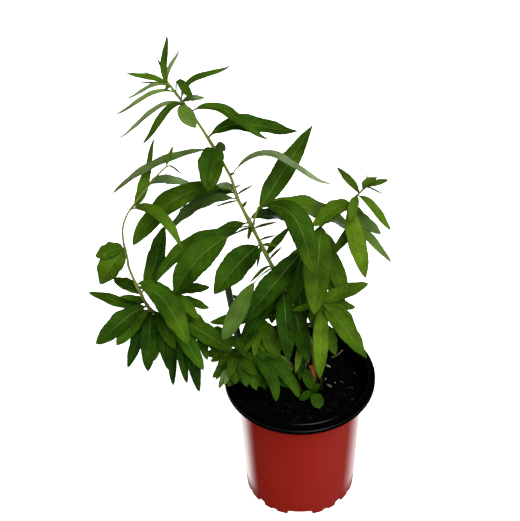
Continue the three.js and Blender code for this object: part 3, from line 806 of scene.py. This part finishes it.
leftBranch = {"seed": 23, "young": 0.1, "blunt": 0.55, "radius": (2.2, 0.7), "route": [
    (-2, 2, 101), (-2, 2, 119), (-12, -4, 151), (-42, -12, 177), (-83, -16, 205), (-107, -16, 214),
    (-122, -14, 219), (-131, -12, 239), (-138, -10, 262), (-139, -9, 273), (-141, -8, 288),
    (-141, -7, 302), (-138, -6, 313), (-133, -6, 323), (-119, -5, 344), (-110, -4, 356),
    (-103, -4, 364),
], "leaves": [
    leaf(13, (18, 55, 0), 5, arch=0, bend=5),
    leaf(13.05, (14, 34, 3), 9, arch=0, bend=3, young=0.5),
    leaf(15.95, (5, 16, 0), 4.5, young=0.5),
    leaf(15.95, (13, -6, 4), 2, arch=3),
    leaf(14, (33, 4, 4), 8, arch=6, pale=0.5),
    leaf(12.9, (42, -31, 12), 9.5, arch=8, hang=12, young=0.5, blunt=0.3),
    leaf(9.5, (-20, -27, 6), 22, young=0.35, blunt=0.3),
    leaf(9.55, (-24, -5, 2), 14, arch=3, young=0.25),
    # the bunch at the bend
    leaf(6.8, (-24, 14, -8), 11, arch=3, tone=-1),
    leaf(6.3, (-49, 11, -2), 10, arch=-1, bend=-2),
    leaf(6.5, (-20, 5, 5), 6, arch=1),
    leaf(6.3, (-42, -31, 6), 17, tone=-0.8),
    leaf(6.1, (-27, -29, 10), 14, young=0.25),
    leaf(6, (-20, -47, 0), 11, tone=-2),
    leaf(6, (-2, -49, 16), 14, arch=5, tone=-1.2),
    leaf(6, (-17, -25, -5), 8, arch=3),
    leaf(6.9, (19, 55, -6), 15, arch=2, bend=4),
    leaf(7.2, (43, -46, 18), 20, hang=6, bend=-5),
    leaf(7.3, (28, -4, -5), 7, arch=3),
    leaf(5.9, (19, -30, 14), 11),
    leaf(4.5, (14, -59, 8), 11, tone=-1.2),
    leaf(5, (3, -56, 8), 9, tone=-1.6),
    leaf(4.85, (11, -54, 2), 9, tone=-1.1),
    leaf(5.7, (10, -46, 4), 9, tone=-1.8),
    leaf(5.2, (32, -44, 12), 14, arch=6),
    leaf(4.6, (44, -25, 18), 16, bend=2),
    leaf(4.2, (28, -26, 10), 7, arch=3),
    # small ones that hide the low part of the stem, darkened as painted shade
    leaf(3.75, (20, -14, 16), 9, tone=-0.8),
    leaf(3.4, (14, -16, 14), 8, tone=-0.8),
    leaf(3.95, (14, -24, 16), 8, tone=-0.5),
    leaf(4.1, (10, -30, 10), 8, tone=-0.8),
    leaf(4.3, (4, -34, 6), 8, tone=-1),
    leaf(5.4, (-6, -38, 0), 9, tone=-1),
    leaf(5.1, (20, -40, 2), 10, tone=-1),
    # far side
    leaf(7.1, (14, -14, -42), 13),
    leaf(6.4, (-18, -12, -40), 13, arch=6),
    leaf(5.5, (4, -22, -38), 13, arch=6),
    leaf(4.7, (24, -26, -34), 12, arch=6),
], "sideStems": [
    {"radius": (1.4, 0.9), "route": [(-109, -16, 213), (-106, -14, 225), (-105, -12, 236)], "leaves": [
        leaf(1.95, (23, -20, 8), 9, young=0.3),
        leaf(1.95, (31, 6, -6), 10, arch=3),
        leaf(1.95, (22, 15, -2), 2.5),
        leaf(1.3, (31, -5, -8), 9),
        leaf(0.9, (31, -18, -6), 10),
        leaf(0.6, (26, -26, -9), 9),
    ]},
]}

rightShoot = {"seed": 37, "young": 0.55, "blunt": 0.45, "radius": (2, 0.8), "route": [
    (6, 14, 101), (6, 14, 119), (8, 14, 147), (3, 18, 189), (0, 22, 220), (2, 24, 252), (11, 24, 270),
    (21, 22, 284), (37, 20, 300), (43, 19, 311), (47, 18, 318), (53, 17, 326),
], "leaves": [
    leaf(9.7, (27, -28, 6), 7, arch=5),
    leaf(8, (29, -20, -8), 11, arch=0, pale=0.25, tone=-0.5),
    leaf(8, (37, -43, -4), 7.5, arch=-1, pale=0.2, tone=-0.6),
    leaf(8.4, (12, -59, 14), 15, bend=2, young=0.9),
    leaf(10.95, (18, 6, 0), 5, arch=1),
    leaf(10.6, (11, 10, 2), 6),
    leaf(10.6, (4, 13, -3), 2),
    leaf(10.95, (14, -6, 4), 2),
    leaf(10.1, (-18, 21, -4), 5.5, arch=2),
    leaf(10, (-14, 14, 3), 4),
    leaf(9.7, (-6, -21, 9), 8, arch=3),
    leaf(8.5, (-31, -18, 6), 14, arch=5, young=0.45, petiole=0.03),
    leaf(8.1, (-22, -12, -10), 13, arch=3, pale=0.3),
    leaf(8.2, (-13, -41, -14), 8, arch=2, bend=-8, young=0.1, tone=-1.2),
    leaf(6.7, (-6, -72, 12), 23, arch=6, young=0.4, tone=0.3, petiole=0.03),
    leaf(6.1, (27, -54, -16), 15, petiole=0.2, young=0.35),
    leaf(5.05, (-51, -62, 12), 20, arch=5, bend=-3, young=0, tone=-0.6),
    leaf(4.7, (-7, -38, -8), 15, arch=3, young=0.3, tone=-1.6, petiole=0.02),
    # dark ones that fill the middle, darkened as painted shade
    leaf(4.3, (0, -54, -22), 16, young=0.1, tone=-1.7),
    leaf(5.7, (29, -58, -16), 17, young=0.3, tone=-0.6),
    leaf(4.4, (24, -34, -20), 14, young=0.2, tone=-1.3),
    leaf(4.1, (-16, -42, -18), 14, young=0.1, tone=-1.7),
    leaf(3.2, (-10, -34, -6), 12, young=0.1, tone=-1.8),
    # far side
    leaf(8.6, (10, -38, -34), 11),
    leaf(6.3, (8, -44, -44), 16, arch=6),
    leaf(5.2, (-14, -44, -44), 14),
    leaf(4.2, (14, -50, -36), 15, arch=5, tone=-1),
    # pale dry stalks at the foot
    leaf(1.6, (-4, -9, 4), 2.4, pale=0.9),
    leaf(1.9, (-1, -10, 4), 2.4, pale=0.6),
]}

innerShoot = {"seed": 41, "young": 0.45, "blunt": 0.5, "radius": (1.8, 0.9), "route": [
    (18, -4, 101), (18, -4, 119), (18, -6, 177), (18, -10, 221), (21, -8, 248),
], "leaves": [
    leaf(3, (-2, -59, 14), 13, arch=3, young=0.68, tone=-0.6, petiole=0.03),
    leaf(3, (37, -43, 6), 17, arch=5, blunt=0.2, petiole=0.01),
    leaf(3.1, (28, -22, -8), 14, arch=3, petiole=0.02),
    leaf(3.05, (28, -3, -8), 9, arch=2),
    leaf(3.1, (38, 16, 4), 13, arch=2, petiole=0.02),
    leaf(3.1, (22, -14, -36), 12, arch=6),
    leaf(3, (-25, -4, 2), 6, arch=2),
    leaf(2.5, (12, -28, -6), 11, arch=3),
]}

frontShoot = {"seed": 53, "young": 0.15, "blunt": 0.8, "radius": (1.8, 1), "route": [
    (1, -9, 101), (1, -9, 119), (-13, -11, 148), (-35, -14, 166), (-54, -18, 173),
], "leaves": [
    leaf(3.4, (42, -36, 8), 10.5, arch=2, hang=12, blunt=0.85, tone=-1.5),
    leaf(3.45, (24, -39, 9), 10.5, arch=2, hang=17, blunt=0.85, tone=-1.3),
    leaf(3.7, (43, -13, 10), 10.5, blunt=0.95, tone=-0.9),
    leaf(3.6, (37, -28, 2), 9, arch=5, tone=-1),
    leaf(3.95, (9, -27, 10), 8.5, tone=-0.7),
    leaf(3.9, (16, -30, 8), 8, tone=-0.5),
    leaf(3.95, (17, -17, 13), 9, young=0.1, arch=1, bend=2, tone=-0.4),
    leaf(3.95, (-1, -25, 8), 10, tone=-0.4),
    leaf(3.9, (-14, -25, 4), 6, pale=0.3),
    leaf(3.9, (-19, -22, 1), 4, arch=3),
    leaf(3.95, (-10, -26, 8), 5, young=0.6, pale=0.25),
    leaf(3.8, (-30, 0, 4), 8.5, arch=3),
    leaf(3.4, (20, -16, 14), 9, bend=3, tone=-0.4),
    leaf(3.2, (27, -6, 2), 9),
    # small ones that fill the bunch, most of them darkened as painted shade
    leaf(3.8, (30, -25, 7), 8, arch=6, tone=-0.8),
    leaf(3.85, (23, -30, 2), 7, arch=5, tone=-1.2),
    leaf(3.9, (30, -30, -3), 7, arch=5, tone=-1.2),
    leaf(3.95, (-6, -19, 12), 8, arch=5),
    leaf(3.95, (4, -24, 2), 7, tone=-1),
    leaf(3.95, (-4, -27, 3), 6, tone=-1),
    leaf(3.6, (13, -27, 8), 8, arch=5, tone=-0.7, bend=2),
    leaf(3.3, (26, -12, 9), 8, tone=-0.9),
    leaf(3.95, (-16, -10, 8), 7),
    leaf(3.95, (-22, -6, 4), 7, tone=-1.2),
    leaf(3.95, (-20, -20, 6), 7, tone=-1),
    leaf(3.95, (-15, -29, 2), 6, pale=0.4, tone=-0.2),
    leaf(3.9, (-8, -28, -4), 7, young=0.3, tone=-0.5),
    leaf(3.7, (20, -30, -6), 8, tone=-1.6),
    leaf(3.5, (24, -28, -10), 9, tone=-1.8),
]}

leftInnerShoot = {"seed": 67, "young": 0.25, "blunt": 0.55, "radius": (1.7, 0.9), "route": [
    (-6, 12, 101), (-6, 12, 119), (-14, 10, 151), (-27, 9, 173), (-35, 10, 187),
], "leaves": [
    leaf(3.95, (16, -34, 13), 15, young=0.5, tone=-0.4, petiole=0.02, blunt=0.75),
    leaf(3.95, (-13, -30, 22), 10, young=0.3, tone=-1),
    leaf(3.9, (-4, -30, 21), 8, young=0.6),
    leaf(3.8, (3, -28, 14), 8, young=0.45, tone=-0.4),
    leaf(3.9, (-23, 21, -7), 8, arch=3),
    leaf(3.8, (-41, 0, 34), 10, arch=5, roll=-25),
    # dark ones beneath, darkened as painted shade
    leaf(3.5, (-24, -22, 16), 10, tone=-1.4),
    leaf(3.3, (-12, -26, 14), 9, tone=-1.5),
    leaf(3.6, (20, -24, 4), 9, tone=-1.2),
    leaf(3.2, (10, -22, 10), 9, tone=-1.3),
    leaf(3.6, (-10, -14, -30), 12, arch=6),
    leaf(3.7, (14, 4, -26), 10, arch=5),
]}

basalSprig = {"seed": 71, "young": 0.3, "blunt": 0.5, "radius": (1.3, 0.9), "route": [
    (11, -15, 101), (11, -15, 119), (12, -16, 125),
], "leaves": [
    # low round leaves, darkened as painted shade
    leaf(1.6, (5, -13, 8), 11, arch=3, round=0.9, petiole=0.2, tone=-1.6),
    leaf(1.9, (-10, 21, 4), 10, arch=1, round=0.45, petiole=0.12, tone=-1.2),
    leaf(1.9, (5, 7, 6), 6, arch=1, round=0.8, tone=-1.4),
    leaf(1.5, (-12, -6, 5), 7, arch=2, round=0.6, tone=-1.7),
]}


# Pot

# in millimetres, from the foot up and from the axis out
pot = {
    "height": 131, "rim": 65, "collarFoot": 123.4, "shoulder": 55.6, "shoulderFoot": 111,
    "bodyTop": 53.4, "foot": 48.5, "footRound": 0.6, "wall": 1.6, "floor": 5, "steps": 144,
    # wide and narrow notches take turns round the foot, and small ones stand between
    "notches": 8, "notchHeight": 4.8, "notchDepth": 9, "notchRound": 2.6,
    "wideNotch": 22, "narrowNotch": 8,
    "smallNotches": (28, -28, 63, -65, 113, -112, 158, -157),
    "smallHeight": 2.2, "smallDepth": 6, "smallWidth": 5,
    "drainRadius": 3.5, "drainRing": 30, "drainSides": 28,
    # where the black parts start
    "blackFoot": 123.1, "blackOut": 55.2, "lipFoot": 122.5, "lipOut": 62,
}
potFinish = {
    "red": (0.163, 0.0078, 0.0040, 1),
    # a darker red for the left side, painted shade
    "redPaintedShade": (0.140, 0.0066, 0.0034, 1),
    # a darker red for a random cloud, and painted shade low on the wall
    "redDarkAndShade": (0.126, 0.0054, 0.0030, 1),
    # near black on the foot's lowest edge, a painted contact shadow
    "redFootShadow": (0.030, 0.0020, 0.0012, 1),
    "black": (0.0002, 0.0002, 0.0003, 1),
    "scuffed": (0.0007, 0.0007, 0.0008, 1),
    # a light grey painted on the inner lip as a painted highlight
    "paintedLipGlint": (0.080, 0.080, 0.085, 1),
    # two places on the pot in metres, then how much shows at each
    # the next three are painted shade on the left side, painted shade low on the wall and a painted
    # contact shadow at the foot
    "sidePaintedShade": (-0.035, 0.035, 0, 1),
    "lowPaintedShade": (0.0, 0.02, 0.6, 0),
    "footPaintedShadow": (0.0004, 0.0014, 0.8, 0),
    "bandAcross": (0.02, 0.05, 1, 0.5),
    "bandUp": (0.004, 0.022, 0.2, 1),
    "sheenAcross": (-0.03, 0.03, 0.01, 0.034),
    # how far up the painted highlight on the inner lip reaches
    "lipGlintUp": (0.1285, 0.1295, 0, 1),
    "cornerOut": (0.0640, 0.0645, 0, 0.4),
    # where the wall turns away from the eye
    "bandEdge": (0.6, 0.82),
    "sheenEdge": (0.26, 0.46),
    # a rise and a fall in metres: how far right, out and up
    "brightAcross": ((-0.014, 0.014), (0.014, 0.037), 0.15),
    # how far out the painted highlight on the inner lip reaches
    "lipGlintOut": ((0.0584, 0.0590), (0.0600, 0.0606)),
    "cornerUp": ((0.1266, 0.1275), (0.1277, 0.1286)),
}


def bodyRadius(z):
    return pot["foot"] + (pot["bodyTop"] - pot["foot"]) * z / pot["shoulderFoot"]


def arc(centre, radius, start, end, steps):
    turns = [math.radians(start + (end - start) * i / steps) for i in range(steps + 1)]
    return [(centre[0] + radius * math.cos(a), centre[1] + radius * math.sin(a)) for a in turns]


def potRedMaterial():
    material, tree, shader = makeTree("redPlastic")
    right, _, up = objectPlace(tree)
    cloud = remap(objectNoise(tree, 14), 0.35, 0.65, 0, 0.35)
    # the left side is painted darker as painted shade, the lowest part of the wall is painted darker as
    # painted shade over a random cloud of darker red, and the foot's lowest edge is painted near black as
    # a painted contact shadow
    base = layered(potFinish, "redPaintedShade", [
        (remap(right, *potFinish["sidePaintedShade"]), "red"),
        (plus(cloud, remap(up, *potFinish["lowPaintedShade"]), True), "redDarkAndShade"),
        (remap(up, *potFinish["footPaintedShadow"]), "redFootShadow"),
    ])
    scuff = objectNoise(tree, 240, 5, 0.6)
    # a bright band down each side, and a faint sheen between them
    thin = times(remap(right, *potFinish["bandAcross"]), remap(up, *potFinish["bandUp"]))
    band = times(edgeGloss(tree, *potFinish["bandEdge"]), thin)
    sheen = times(edgeGloss(tree, *potFinish["sheenEdge"]), remap(right, *potFinish["sheenAcross"]))
    setSockets(shader, {
        "Base Color": base,
        "Roughness": remap(scuff, 0.3, 0.7, 0.3, 0.4),
        "Specular IOR Level": 0,
        "Coat Weight": maths("MAXIMUM", band, sheen),
        "Coat Roughness": 0.1,
        "Coat IOR": 1.75,
    })
    bumpFrom(shader, scuff, 0.05, 0.0003)
    return material


def potBlackMaterial():
    material, tree, shader = makeTree("blackPlastic")
    scuff = objectNoise(tree, 300, 5, 0.6)
    # two thin lines of light: one below the outer corner, from the glossy coat, and one on the inner lip,
    # a painted highlight in its colour
    right, back, up = objectPlace(tree)
    out = maths("SQRT", plus(times(right, right), times(back, back)))
    bright = hump(right, *potFinish["brightAcross"])
    inner = times(hump(out, *potFinish["lipGlintOut"]), remap(up, *potFinish["lipGlintUp"]))
    paintedLipGlint = times(inner, times(bright, bright))
    corner = times(hump(up, *potFinish["cornerUp"]), remap(out, *potFinish["cornerOut"]))
    setSockets(shader, {
        "Base Color": layered(potFinish, "black", [(scuff, "scuffed"), (paintedLipGlint, "paintedLipGlint")]),
        "Roughness": 0.3,
        "Specular IOR Level": 0,
        "Coat Weight": times(corner, bright),
        "Coat Roughness": 0.12,
    })
    bumpFrom(shader, scuff, 0.02, 0.0002)
    return material


def potProfile():
    rim, top, collar, wall = pot["rim"], pot["height"], pot["collarFoot"], pot["wall"]
    floor, neck, edge = pot["floor"], pot["shoulder"] - wall, pot["footRound"]
    foot = pot["foot"] - edge
    return [
        (0, 0), (20, 0), (34, 0), (foot, 0), *arc((foot, edge), edge, -80, 0, 5),
        *[(bodyRadius(z), z) for z in (6, 40, 80, 109.5, 111)],
        (54.3, 112), (54.8, 113.4), (55, 118), (55.4, 122),
        (56, 123.2), (57.4, 123.7), (62.2, 124.3), (rim - 1.9, 124.1), (rim - 1.7, collar + 0.2),
        (rim - 1.2, collar), (rim - 0.4, collar), (rim, collar + 0.4),
        (rim, top - 4), *arc((rim - 3.4, top - 3.4), 3.4, 0, 90, 9),
        *arc((rim - 4.4, top - 2.2), 2.2, 90, 170, 7),
        (rim - 6.9, top - 4.5), (neck + 1.6, 124.4), *arc((neck + 1.4, 121.6), 1.4, 120, 180, 3),
        (neck - 0.6, 114), (neck - 1.4, 113), (bodyRadius(111) - wall, 111.4),
        (bodyRadius(80) - wall, 80), (bodyRadius(floor) - wall, floor), (0, floor),
    ]


def spunProfile(points, steps):
    bm = bmesh.new()
    verts = [bm.verts.new((radius * mm, 0, z * mm)) for radius, z in points]
    edges = [bm.edges.new(pair) for pair in zip(verts, verts[1:])]
    bmesh.ops.spin(bm, geom=verts + edges, cent=(0, 0, 0), axis=(0, 0, 1), dvec=(0, 0, 0),
                   angle=math.tau, steps=steps, use_merge=True, use_duplicate=False)
    bmesh.ops.remove_doubles(bm, verts=bm.verts, dist=1e-6)
    bmesh.ops.recalc_face_normals(bm, faces=bm.faces)
    return bm


def ringPlace(turn, radius):
    # turn 0 is at the front
    return Matrix.Rotation(math.radians(turn - 90), 4, "Z") @ Matrix.Translation((radius * mm, 0, 0))


def footCutter(bm, turn, depth, width, height):
    size = Matrix.Diagonal((depth * mm, width * mm, height * 2 * mm, 1))
    return bmesh.ops.create_cube(bm, size=1, matrix=ringPlace(turn, pot["foot"]) @ size)["verts"]


def potCutters():
    # each cutter is made at the front, and the ones before it have been turned on by one place
    bm = bmesh.new()
    turned = Matrix.Rotation(math.tau / pot["notches"], 4, "Z")
    radius, depth = pot["drainRadius"] * mm, pot["floor"] * 3 * mm
    for i in range(pot["notches"]):
        bmesh.ops.transform(bm, matrix=turned, verts=bm.verts)
        width = pot["wideNotch"] if i % 2 else pot["narrowNotch"]
        box = footCutter(bm, 0, pot["notchDepth"], width, pot["notchHeight"])
        radial = [edge for edge in {edge for vert in box for edge in vert.link_edges}
                  if abs(edge.verts[0].co.y - edge.verts[1].co.y) > 2 * mm]
        bmesh.ops.bevel(bm, geom=radial, offset=pot["notchRound"] * mm, offset_type="OFFSET", segments=6,
                        profile=0.5, affect="EDGES", material=-1)
        bmesh.ops.create_cone(bm, cap_ends=True, segments=pot["drainSides"], radius1=radius,
                              radius2=radius, depth=depth, matrix=ringPlace(0, pot["drainRing"]))
    for turn in pot["smallNotches"]:
        footCutter(bm, turn, pot["smallDepth"], pot["smallWidth"], pot["smallHeight"])
    return bm


def makePot():
    red, black = potRedMaterial(), potBlackMaterial()
    body = finishMesh(spunProfile(potProfile(), pot["steps"]), "pot_body", [red, black])
    cutters = finishMesh(potCutters(), "potCutters", [red])
    cut = body.modifiers.new("notches", "BOOLEAN")
    cut.operation = "DIFFERENCE"
    cut.solver = "EXACT"
    cut.object = cutters
    mesh = evaluatedMesh(body)
    bpy.data.objects.remove(cutters)
    piece = placeMesh(mesh, "pot_shell", [red, black], 32)
    for face in mesh.polygons:
        centre, normal = face.center / mm, face.normal
        out = math.hypot(centre.x, centre.y)
        above = centre.z > pot["blackFoot"] and out > pot["blackOut"]
        turnedIn = normal.x * centre.x + normal.y * centre.y < -0.1 * out
        inWall = out < bodyRadius(centre.z) - pot["wall"] / 2
        inside = centre.z > pot["floor"] * 0.98 and (inWall or turnedIn)
        lip = centre.z > pot["lipFoot"] and normal.z > -0.2 and out < pot["lipOut"]
        face.material_index = 1 if above or inside or lip else 0
    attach(piece, "root")
    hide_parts("pot")
    print("pot", len(mesh.polygons), "faces")


# Soil

soil = {
    "seed": 5, "top": 116, "edgeTop": 115, "gap": 0.35, "neckGap": 0.8, "rings": 44, "steps": 150,
    # its lumps fade out over this stretch to the wall
    "settle": 3,
    "dark": (0.0002, 0.0002, 0.0002, 1),
    "brown": (0.0006, 0.0005, 0.0004, 1),
    "pale": (0.30, 0.29, 0.23, 1),
    # right, away, length, width, turn, tone of the bits that show on the bed
    "bits": [
        (35.6, -35.2, 1.4, 1.2, 0, 1.0), (24.5, 23, 5.6, 1.7, -38, 0.85), (22.2, 8, 3.0, 1.8, 70, 0.35),
        (25.2, 0.6, 6.5, 1.5, -38, 0.35), (30.4, 3, 1.6, 1.3, 20, 0.5), (36.1, 4.2, 5.0, 0.8, -40, 0.15),
        (44.7, -4, 1.6, 1.3, 0, 0.15), (47.5, 14.7, 1.4, 1.2, 0, 0.12), (45, -17.8, 1.5, 1.2, 0, 0.12),
        (49.5, -17.3, 1.3, 1.0, 0, 0.1),
    ],
}
# loose crumbs and perlite: how many, how far out, their sizes and their tones
crumbs = {"count": 520, "spread": 49, "width": (0.8, 2.6), "stretch": (1, 1.8), "tone": (0, 0.012)}
perlite = {"count": 16, "spread": 48, "length": (0.5, 1.0), "width": (0.4, 0.8), "tone": (0.05, 0.2)}
crumbShape = {"lift": 0.1, "tilt": 0.5, "tall": 0.7, "lumps": 900, "rough": 0.35}
twig = {
    "route": [(28, 30, 120), (33, 33.7, 119.6), (37, 38, 120.4), (42.5, 42.5, 119)],
    "finer": 6, "thick": 0.75, "taper": 0.06, "knobs": 0.15,
    "dark": (0.035, 0.016, 0.009, 1),
    "dry": (0.12, 0.075, 0.045, 1),
}


def soilMaterial():
    material, tree, shader = makeTree("pottingSoil")
    node = tree.nodes.new("ShaderNodeAttribute")
    node.attribute_name = "crumbTone"
    clod = remap(objectNoise(tree, 260, 5, 0.65), 0.4, 0.72, 0, 1)
    base = layered(soil, "dark", [(clod, "brown"), (node.outputs["Fac"], "pale")])
    setSockets(shader, {"Base Color": base, "Roughness": 0.95, "Specular IOR Level": 0.02})
    bumpFrom(shader, objectNoise(tree, 1500, 5, 0.7), 0.7, 0.0008)
    return material


def soilHeight(x, y):
    # the solid's slow lumps, then finer ones
    slow = (0.9 * math.sin(x * 0.21 + y * 0.11) + 0.7 * math.sin(y * 0.27 - x * 0.09 + 1.3)
            + 0.5 * math.sin(x * 0.43 + 2))
    fine = noise.fractal(Vector((x * 0.16, y * 0.16, 3.1)), 0.9, 2.1, 4) * 0.9
    return soil["top"] + slow + fine


def makeSoil():
    rng = random.Random(soil["seed"])
    inset = pot["wall"] + soil["gap"]
    wall = bodyRadius(110) - inset
    edge = pot["shoulder"] - soil["neckGap"] - inset
    foot = pot["floor"] + soil["gap"]
    rings = [(edge * i / soil["rings"], soil["top"]) for i in range(soil["rings"], -1, -1)]
    bm = spunProfile([(0, foot), (bodyRadius(5.3) - inset, foot), (wall, 110), (wall, 114), *rings],
                     soil["steps"])
    toneLayer = bm.verts.layers.float.new("crumbTone")
    for vert in bm.verts:
        x, y = vert.co.x / mm, vert.co.y / mm
        if vert.co.z > (soil["top"] - 0.5) * mm:
            settle = clamp((edge - math.hypot(x, y)) / soil["settle"], 0, 1)
            vert.co.z = (soil["edgeTop"] + (soilHeight(x, y) - soil["edgeTop"]) * settle) * mm

    def crumb(x, y, length, width, turn, tone):
        lift = width * crumbShape["lift"]
        place = Matrix.Translation((x * mm, y * mm, (soilHeight(x, y) + lift) * mm))
        spin = Matrix.Rotation(math.radians(turn), 4, "Z")
        tilt = Matrix.Rotation(rng.uniform(-crumbShape["tilt"], crumbShape["tilt"]), 4, "X")
        half = mm / 2
        size = Matrix.Diagonal((length * half, width * half, width * crumbShape["tall"] * half, 1))
        made = bmesh.ops.create_icosphere(bm, subdivisions=2, radius=1,
                                          matrix=place @ spin @ tilt @ size)["verts"]
        for vert in made:
            bump = noise.noise(vert.co * crumbShape["lumps"] + Vector((x, y, 0)))
            vert.co += (vert.co - place.translation) * (bump * crumbShape["rough"])
            vert[toneLayer] = tone

    def scattered(spread):
        out, around = spread * math.sqrt(rng.random()), rng.uniform(0, math.tau)
        return out * math.cos(around), out * math.sin(around)

    for i in range(crumbs["count"]):
        x, y = scattered(crumbs["spread"])
        width = rng.uniform(*crumbs["width"])
        crumb(x, y, width * rng.uniform(*crumbs["stretch"]), width,
              rng.uniform(0, 180), rng.uniform(*crumbs["tone"]))
    for i in range(perlite["count"]):
        x, y = scattered(perlite["spread"])
        crumb(x, y, rng.uniform(*perlite["length"]), rng.uniform(*perlite["width"]),
              rng.uniform(0, 180), rng.uniform(*perlite["tone"]))
    for bit in soil["bits"]:
        crumb(*bit)
    piece = finishMesh(bm, "soil_bed", [soilMaterial()], 60)
    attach(piece, "root")
    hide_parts("soil")
    print("soil", len(piece.data.polygons), "faces")


def makeTwig():
    stick = newTubes("twig", 2)
    route = [Vector(point) * mm for point in twig["route"]]
    points = []
    for i in range((len(route) - 1) * twig["finer"] + 1):
        station = i / twig["finer"]
        radius = twig["thick"] - twig["taper"] * station + twig["knobs"] * math.sin(i * 1.7)
        points.append((routePoint(route, station), radius * mm))
    addSpline(stick, points)
    dry = tubesToPiece(stick, "soil_twig", twigMaterial())
    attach(dry, "root")
    print("twig", len(dry.data.polygons), "faces")


def twigMaterial():
    material, tree, shader = makeTree("dryTwig")
    fleck = remap(objectNoise(tree, 420, 4), 0.4, 0.65, 0, 1)
    setSockets(shader, {"Base Color": layered(twig, "dark", [(fleck, "dry")]), "Roughness": 0.8})
    bumpFrom(shader, fleck, 0.6, 0.0005)
    return material


# Stake

stake = {
    "foot": (-39.5, 6, 60), "top": (-62, 5, 246), "radius": 3.1,
    "knobs": 26, "knobSteps": 6, "knobSize": 0.05, "between": 0.95,
    # the rounded end starts at this share of the length
    "dome": 0.985, "domeLength": 0.0148, "domeTurns": (30, 55, 75, 88),
    "dark": (0.0050, 0.0110, 0.0022, 1),
    "light": (0.0190, 0.0320, 0.0080, 1),
}


def stakeMaterial():
    material, tree, shader = makeTree("coatedCane")
    grain = objectNoise(tree, 500, 4)
    setSockets(shader, {
        "Base Color": layered(stake, "dark", [(remap(grain, 0.35, 0.65, 0, 1), "light")]),
        "Roughness": remap(grain, 0.3, 0.7, 0.36, 0.5),
        "Specular IOR Level": 0.05,
    })
    bumpFrom(shader, grain, 0.3, 0.0004)
    return material


def makeStake():
    foot, top = Vector(stake["foot"]) * mm, Vector(stake["top"]) * mm
    radius = stake["radius"] * mm
    slim = radius * stake["between"]
    steps = stake["knobs"] * stake["knobSteps"]
    points = []
    for i in range(steps + 1):
        knob = max(0, math.cos(i / stake["knobSteps"] * math.tau)) ** 6 * stake["knobSize"] * radius
        points.append((foot.lerp(top, i / steps * stake["dome"]), slim + knob))
    for turn in stake["domeTurns"]:
        a = math.radians(turn)
        share = stake["dome"] + stake["domeLength"] * math.sin(a)
        points.append((foot.lerp(top, share), slim * math.cos(a)))
    cane = newTubes("stake", 10)
    addSpline(cane, points)
    piece = tubesToPiece(cane, "stake_cane", stakeMaterial())
    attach(piece, "root")
    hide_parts("stake")
    print("stake", len(piece.data.polygons), "faces")


makeStudio()
makePot()
makeSoil()
makeTwig()
makeStake()
makeShoot("leader", leader)
makeShoot("left_branch", leftBranch)
makeShoot("right_shoot", rightShoot)
makeShoot("inner_shoot", innerShoot)
makeShoot("front_shoot", frontShoot)
makeShoot("left_inner_shoot", leftInnerShoot)
makeShoot("basal_sprig", basalSprig)
